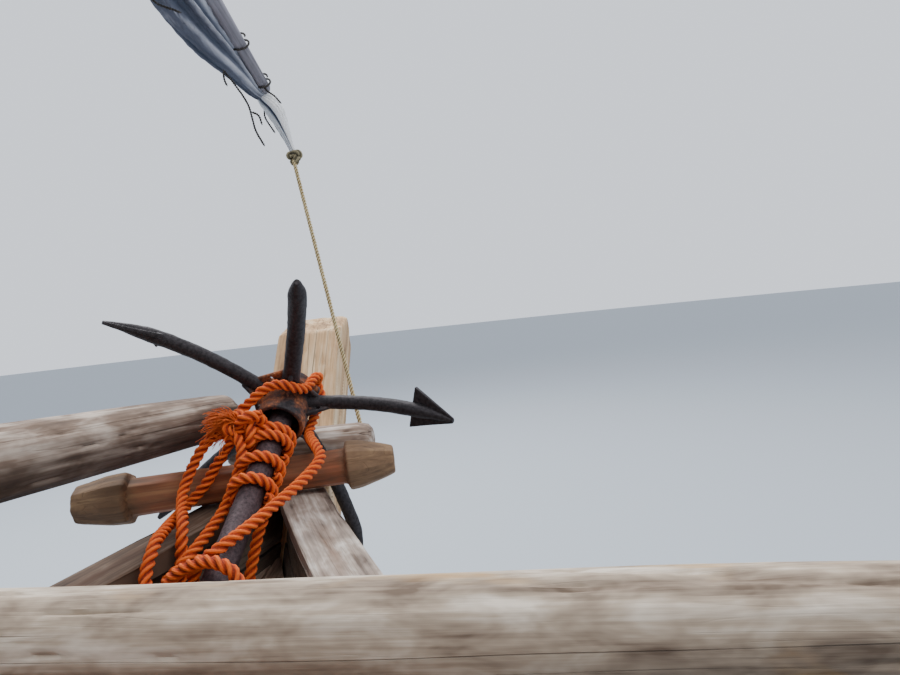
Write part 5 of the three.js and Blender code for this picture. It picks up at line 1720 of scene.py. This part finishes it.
SLING_AT, PARREL_AT, PARREL_SLACK = 2.58, 2.62, 0.032
SHEAVE_ARC = SHEAVE_RADIUS - SHEAVE_GROOVE + 1.3 * RIGGING_RADIUS + 0.0002
sling = yard_at(SLING_AT) + Vector((0, 0, radius_at(LOWER_RADII, SLING_AT) / YARD_UP.z + 0.005))
halyard_points = [sling, sling + Vector((0.002, 0.002, 0.070)),
                  Vector((0, sheave_centre.y + SHEAVE_ARC, sheave_centre.z - 0.080))]
for step in range(15):
    angle = math.pi * step / 14
    halyard_points.append(Vector((0, sheave_centre.y + SHEAVE_ARC * math.cos(angle),
                                  sheave_centre.z + SHEAVE_ARC * math.sin(angle))))
halyard_end = Vector((0.430, -2.250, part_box("aft_thwart")[1].z + 0.0105))
halyard_points += [Vector((0, sheave_centre.y - SHEAVE_ARC - 0.014, sheave_centre.z - 0.080)), halyard_end]
halyard = laid_rope("halyard_rope", through(halyard_points, 0.008), RIGGING_RADIUS, 12)
finish_piece(halyard, "halyard_rope", "hull", TAN_ROPE, "rope", "halyard")

parrel_centre = yard_at(PARREL_AT)
mast_there = mast_foot + MAST_WAY * ((parrel_centre.z - mast_foot.z) / MAST_WAY.z)
way = Vector((mast_there.x - parrel_centre.x, mast_there.y - parrel_centre.y, 0)).normalized()
cross = Vector((way.y, -way.x, 0))
back = parrel_centre + way * (radius_at(LOWER_RADII, SLING_AT) + PARREL_RADIUS - 0.004)
spot = Vector((mast_there.x, mast_there.y, parrel_centre.z))
parrel_points = [back - cross * 0.014]
for step in range(8):
    angle = -math.pi / 2 + math.pi * step / 7
    parrel_points.append(spot + spoke(way, cross, angle) * (MAST_THICK + PARREL_RADIUS + PARREL_SLACK))
parrel_points.append(back + cross * 0.014)
parrel = laid_rope("parrel_rope", through(parrel_points), PARREL_RADIUS, 16)
finish_piece(parrel, "parrel_rope", "yard", TAN_ROPE, "rope", "parrel")
print("halyard and parrel:", len(halyard.data.polygons) + len(parrel.data.polygons), "faces")

# %% [markdown]
# Stem
#
# The stem is one heavy pale timber. A bevelled copy of its solid is remeshed into small faces, so
# that deep checks can be carved down its head.

# %% Stem post
stem = node_copy("stem_post", "stem_timber")
ease_edges(stem, 0.010, 35, segments=3)
modify(stem, "REMESH", mode="VOXEL", voxel_size=0.007)
set_grain(stem, Vector((0, STEM_SLOPE, 1)), X, seed=5)
wear(stem, 0.0045, 0.0014, 0.006, 0.045)
finish_piece(smooth(stem, 60), "stem_timber", "hull", PALE, "bleached_wood", "stem_post")
print("stem:", len(stem.data.polygons), "faces")

# %% [markdown]
# Crossbeam
#
# The crossbeam is an eight-sided turned bar with a collar near each end. Its edges are bevelled and
# its faces subdivided before they are worn.

# %% Crossbeam
BEAM_STATIONS = [(0, 0.033), (0.003, 0.037), (0.040, 0.044), (0.060, 0.0485), (0.093, 0.050),
                 (0.098, 0.047), (0.103, 0.0365), (0.300, 0.034), (0.495, 0.0355), (0.500, 0.047),
                 (0.504, 0.050), (0.526, 0.048), (0.566, 0.037), (0.589, 0.029), (0.592, 0.025)]
beam_line = axis_of("bow_crossbeam", (1, 0, 0))
beam = timber("carved_crossbeam", beam_line, BEAM_STATIONS, 8, 0.012, seed=0, bevel=0.009)
modify(beam, "SUBSURF", levels=2, render_levels=2)
wear(beam, 0.0022, 0.0008, 0.0012)
finish_piece(smooth(beam, 30), "carved_crossbeam", "hull", BEAM_WOOD, "beam_wood", "bow_crossbeam")
print("crossbeam:", len(beam.data.polygons), "faces")

# %% [markdown]
# Tiller
#
# The tiller is a light tapered bar. It is made as the spars are, and it rides on the rudder.

# %% Tiller
TILLER_STATIONS = [(0, 0.016), (0.006, 0.019), (0.3, 0.019), (1.05, 0.022), (1.22, 0.019), (1.248, 0.012)]
tiller = timber("tiller_bar", axis_of("tiller", (0, 1, 0)), TILLER_STATIONS, 24, 0.02, seed=21)
wear(tiller, 0.0015, 0.0004, 0.001)
finish_piece(smooth(tiller, 40), "tiller_bar", "rudder", SPAR_WOOD, "dark_wood", "tiller")

# %% [markdown]
# Finishes for the nodes that stay
#
# The ribs, keel, sternpost, gudgeons and pintles have their true shape already, so they stay and
# only get their finish.

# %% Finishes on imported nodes
for node, part in nodes.items():
    iron = "gudgeon" in node or "pintle" in node
    part.data.materials.clear()
    part.data.materials.append(IRON if iron else FRAME_WOOD)
print("packed nodes finished:", len(nodes))

# %% [markdown]
# The surroundings
#
# The boat floats, so the pale floor lies at the waterline and has a hole the shape of the hull.
# Where the water meets a section is found by halving the height's range thirty times.

# %% Floor
FLOOR_REACH = 60


def waterline(count=60):
    """Points round the hull at the water, starboard side from the stern forward, then port."""
    starboard = []
    for step in range(count + 1):
        s = between(0.0, 1.0, step / count)
        low, high = 0.0, 1.0
        for _ in range(30):
            middle = (low + high) / 2
            low, high = (middle, high) if hull_point(s, middle).z < 0 else (low, middle)
        starboard.append(hull_point(s, low))
    return [(p.x, p.y) for p in starboard] + [(-p.x, p.y) for p in reversed(starboard)]


def floor_with_hole():
    outline = waterline()
    shape = bmesh.new()
    inner = [shape.verts.new((x, y, 0)) for x, y in outline]
    outer = [shape.verts.new(Vector((x, y * 0.35, 0)).normalized() * FLOOR_REACH) for x, y in outline]
    count = len(outline)
    for index in range(count):
        after = (index + 1) % count
        shape.faces.new((inner[index], outer[index], outer[after], inner[after]))
    return mesh_piece("floor", shape)


floor = floor_with_hole()
floor.data.materials.append(Material("pale_floor").done((0.70, 0.73, 0.76), 0.85))
print("floor:", len(floor.data.polygons), "faces")

# %% [markdown]
# Sky and lamps
#
# The light is soft and comes from a bright overcast sky. The world is brightest ahead of the boat
# and above it, so its strength follows the direction in which it is seen. Two wide lamps give the
# timbers a light side and a dark one, and a small lamp over the bow lifts the anchor's shadows.

# %% World and lamps
SKY_SIDE, SKY_COLOUR = (0.0, 0.72, 0.69), (0.84, 0.89, 0.98, 1)   # the bright side is ahead and above
SKY_RANGE = {"From Min": -0.35, "From Max": 0.55, "To Min": 0.42, "To Max": 1.25}
world = bpy.data.worlds.new("bright_sky")
bpy.context.scene.world = world
world.use_nodes = True
sky = world.node_tree
toward = sky.nodes.new("ShaderNodeTexCoord").outputs["Generated"]
height = sky.nodes.new("ShaderNodeVectorMath")
height.operation = "DOT_PRODUCT"
height.inputs[1].default_value = SKY_SIDE
strength = sky.nodes.new("ShaderNodeMapRange")
for name, value in SKY_RANGE.items():
    strength.inputs[name].default_value = value
sky.links.new(toward, height.inputs[0])
sky.links.new(height.outputs["Value"], strength.inputs["Value"])
sky.links.new(strength.outputs["Result"], sky.nodes["Background"].inputs["Strength"])
sky.nodes["Background"].inputs["Color"].default_value = SKY_COLOUR
LAMPS = [   # place, target, size, power
    ((-2.5, 9.0, 8.5), (0, 3.4, 1.2), 4.0, 900),
    ((5.5, 0.0, 8.0), (0, 2.5, 1.2), 5.0, 330),
    ((0.1, 3.0, 3.0), (0, 3.75, 1.0), 1.0, 6),
]
for number, (place, target, size, power) in enumerate(LAMPS):
    nothing_selected()
    bpy.ops.object.light_add(type="AREA", location=place)
    lamp = bpy.context.active_object
    lamp.name = f"soft_lamp_{number}"
    lamp.data.size, lamp.data.energy = size, power
    lamp.visible_camera = False
    lamp.rotation_euler = (Vector(target) - Vector(place)).to_track_quat("-Z", "Y").to_euler()
print("lamps:", len(LAMPS))
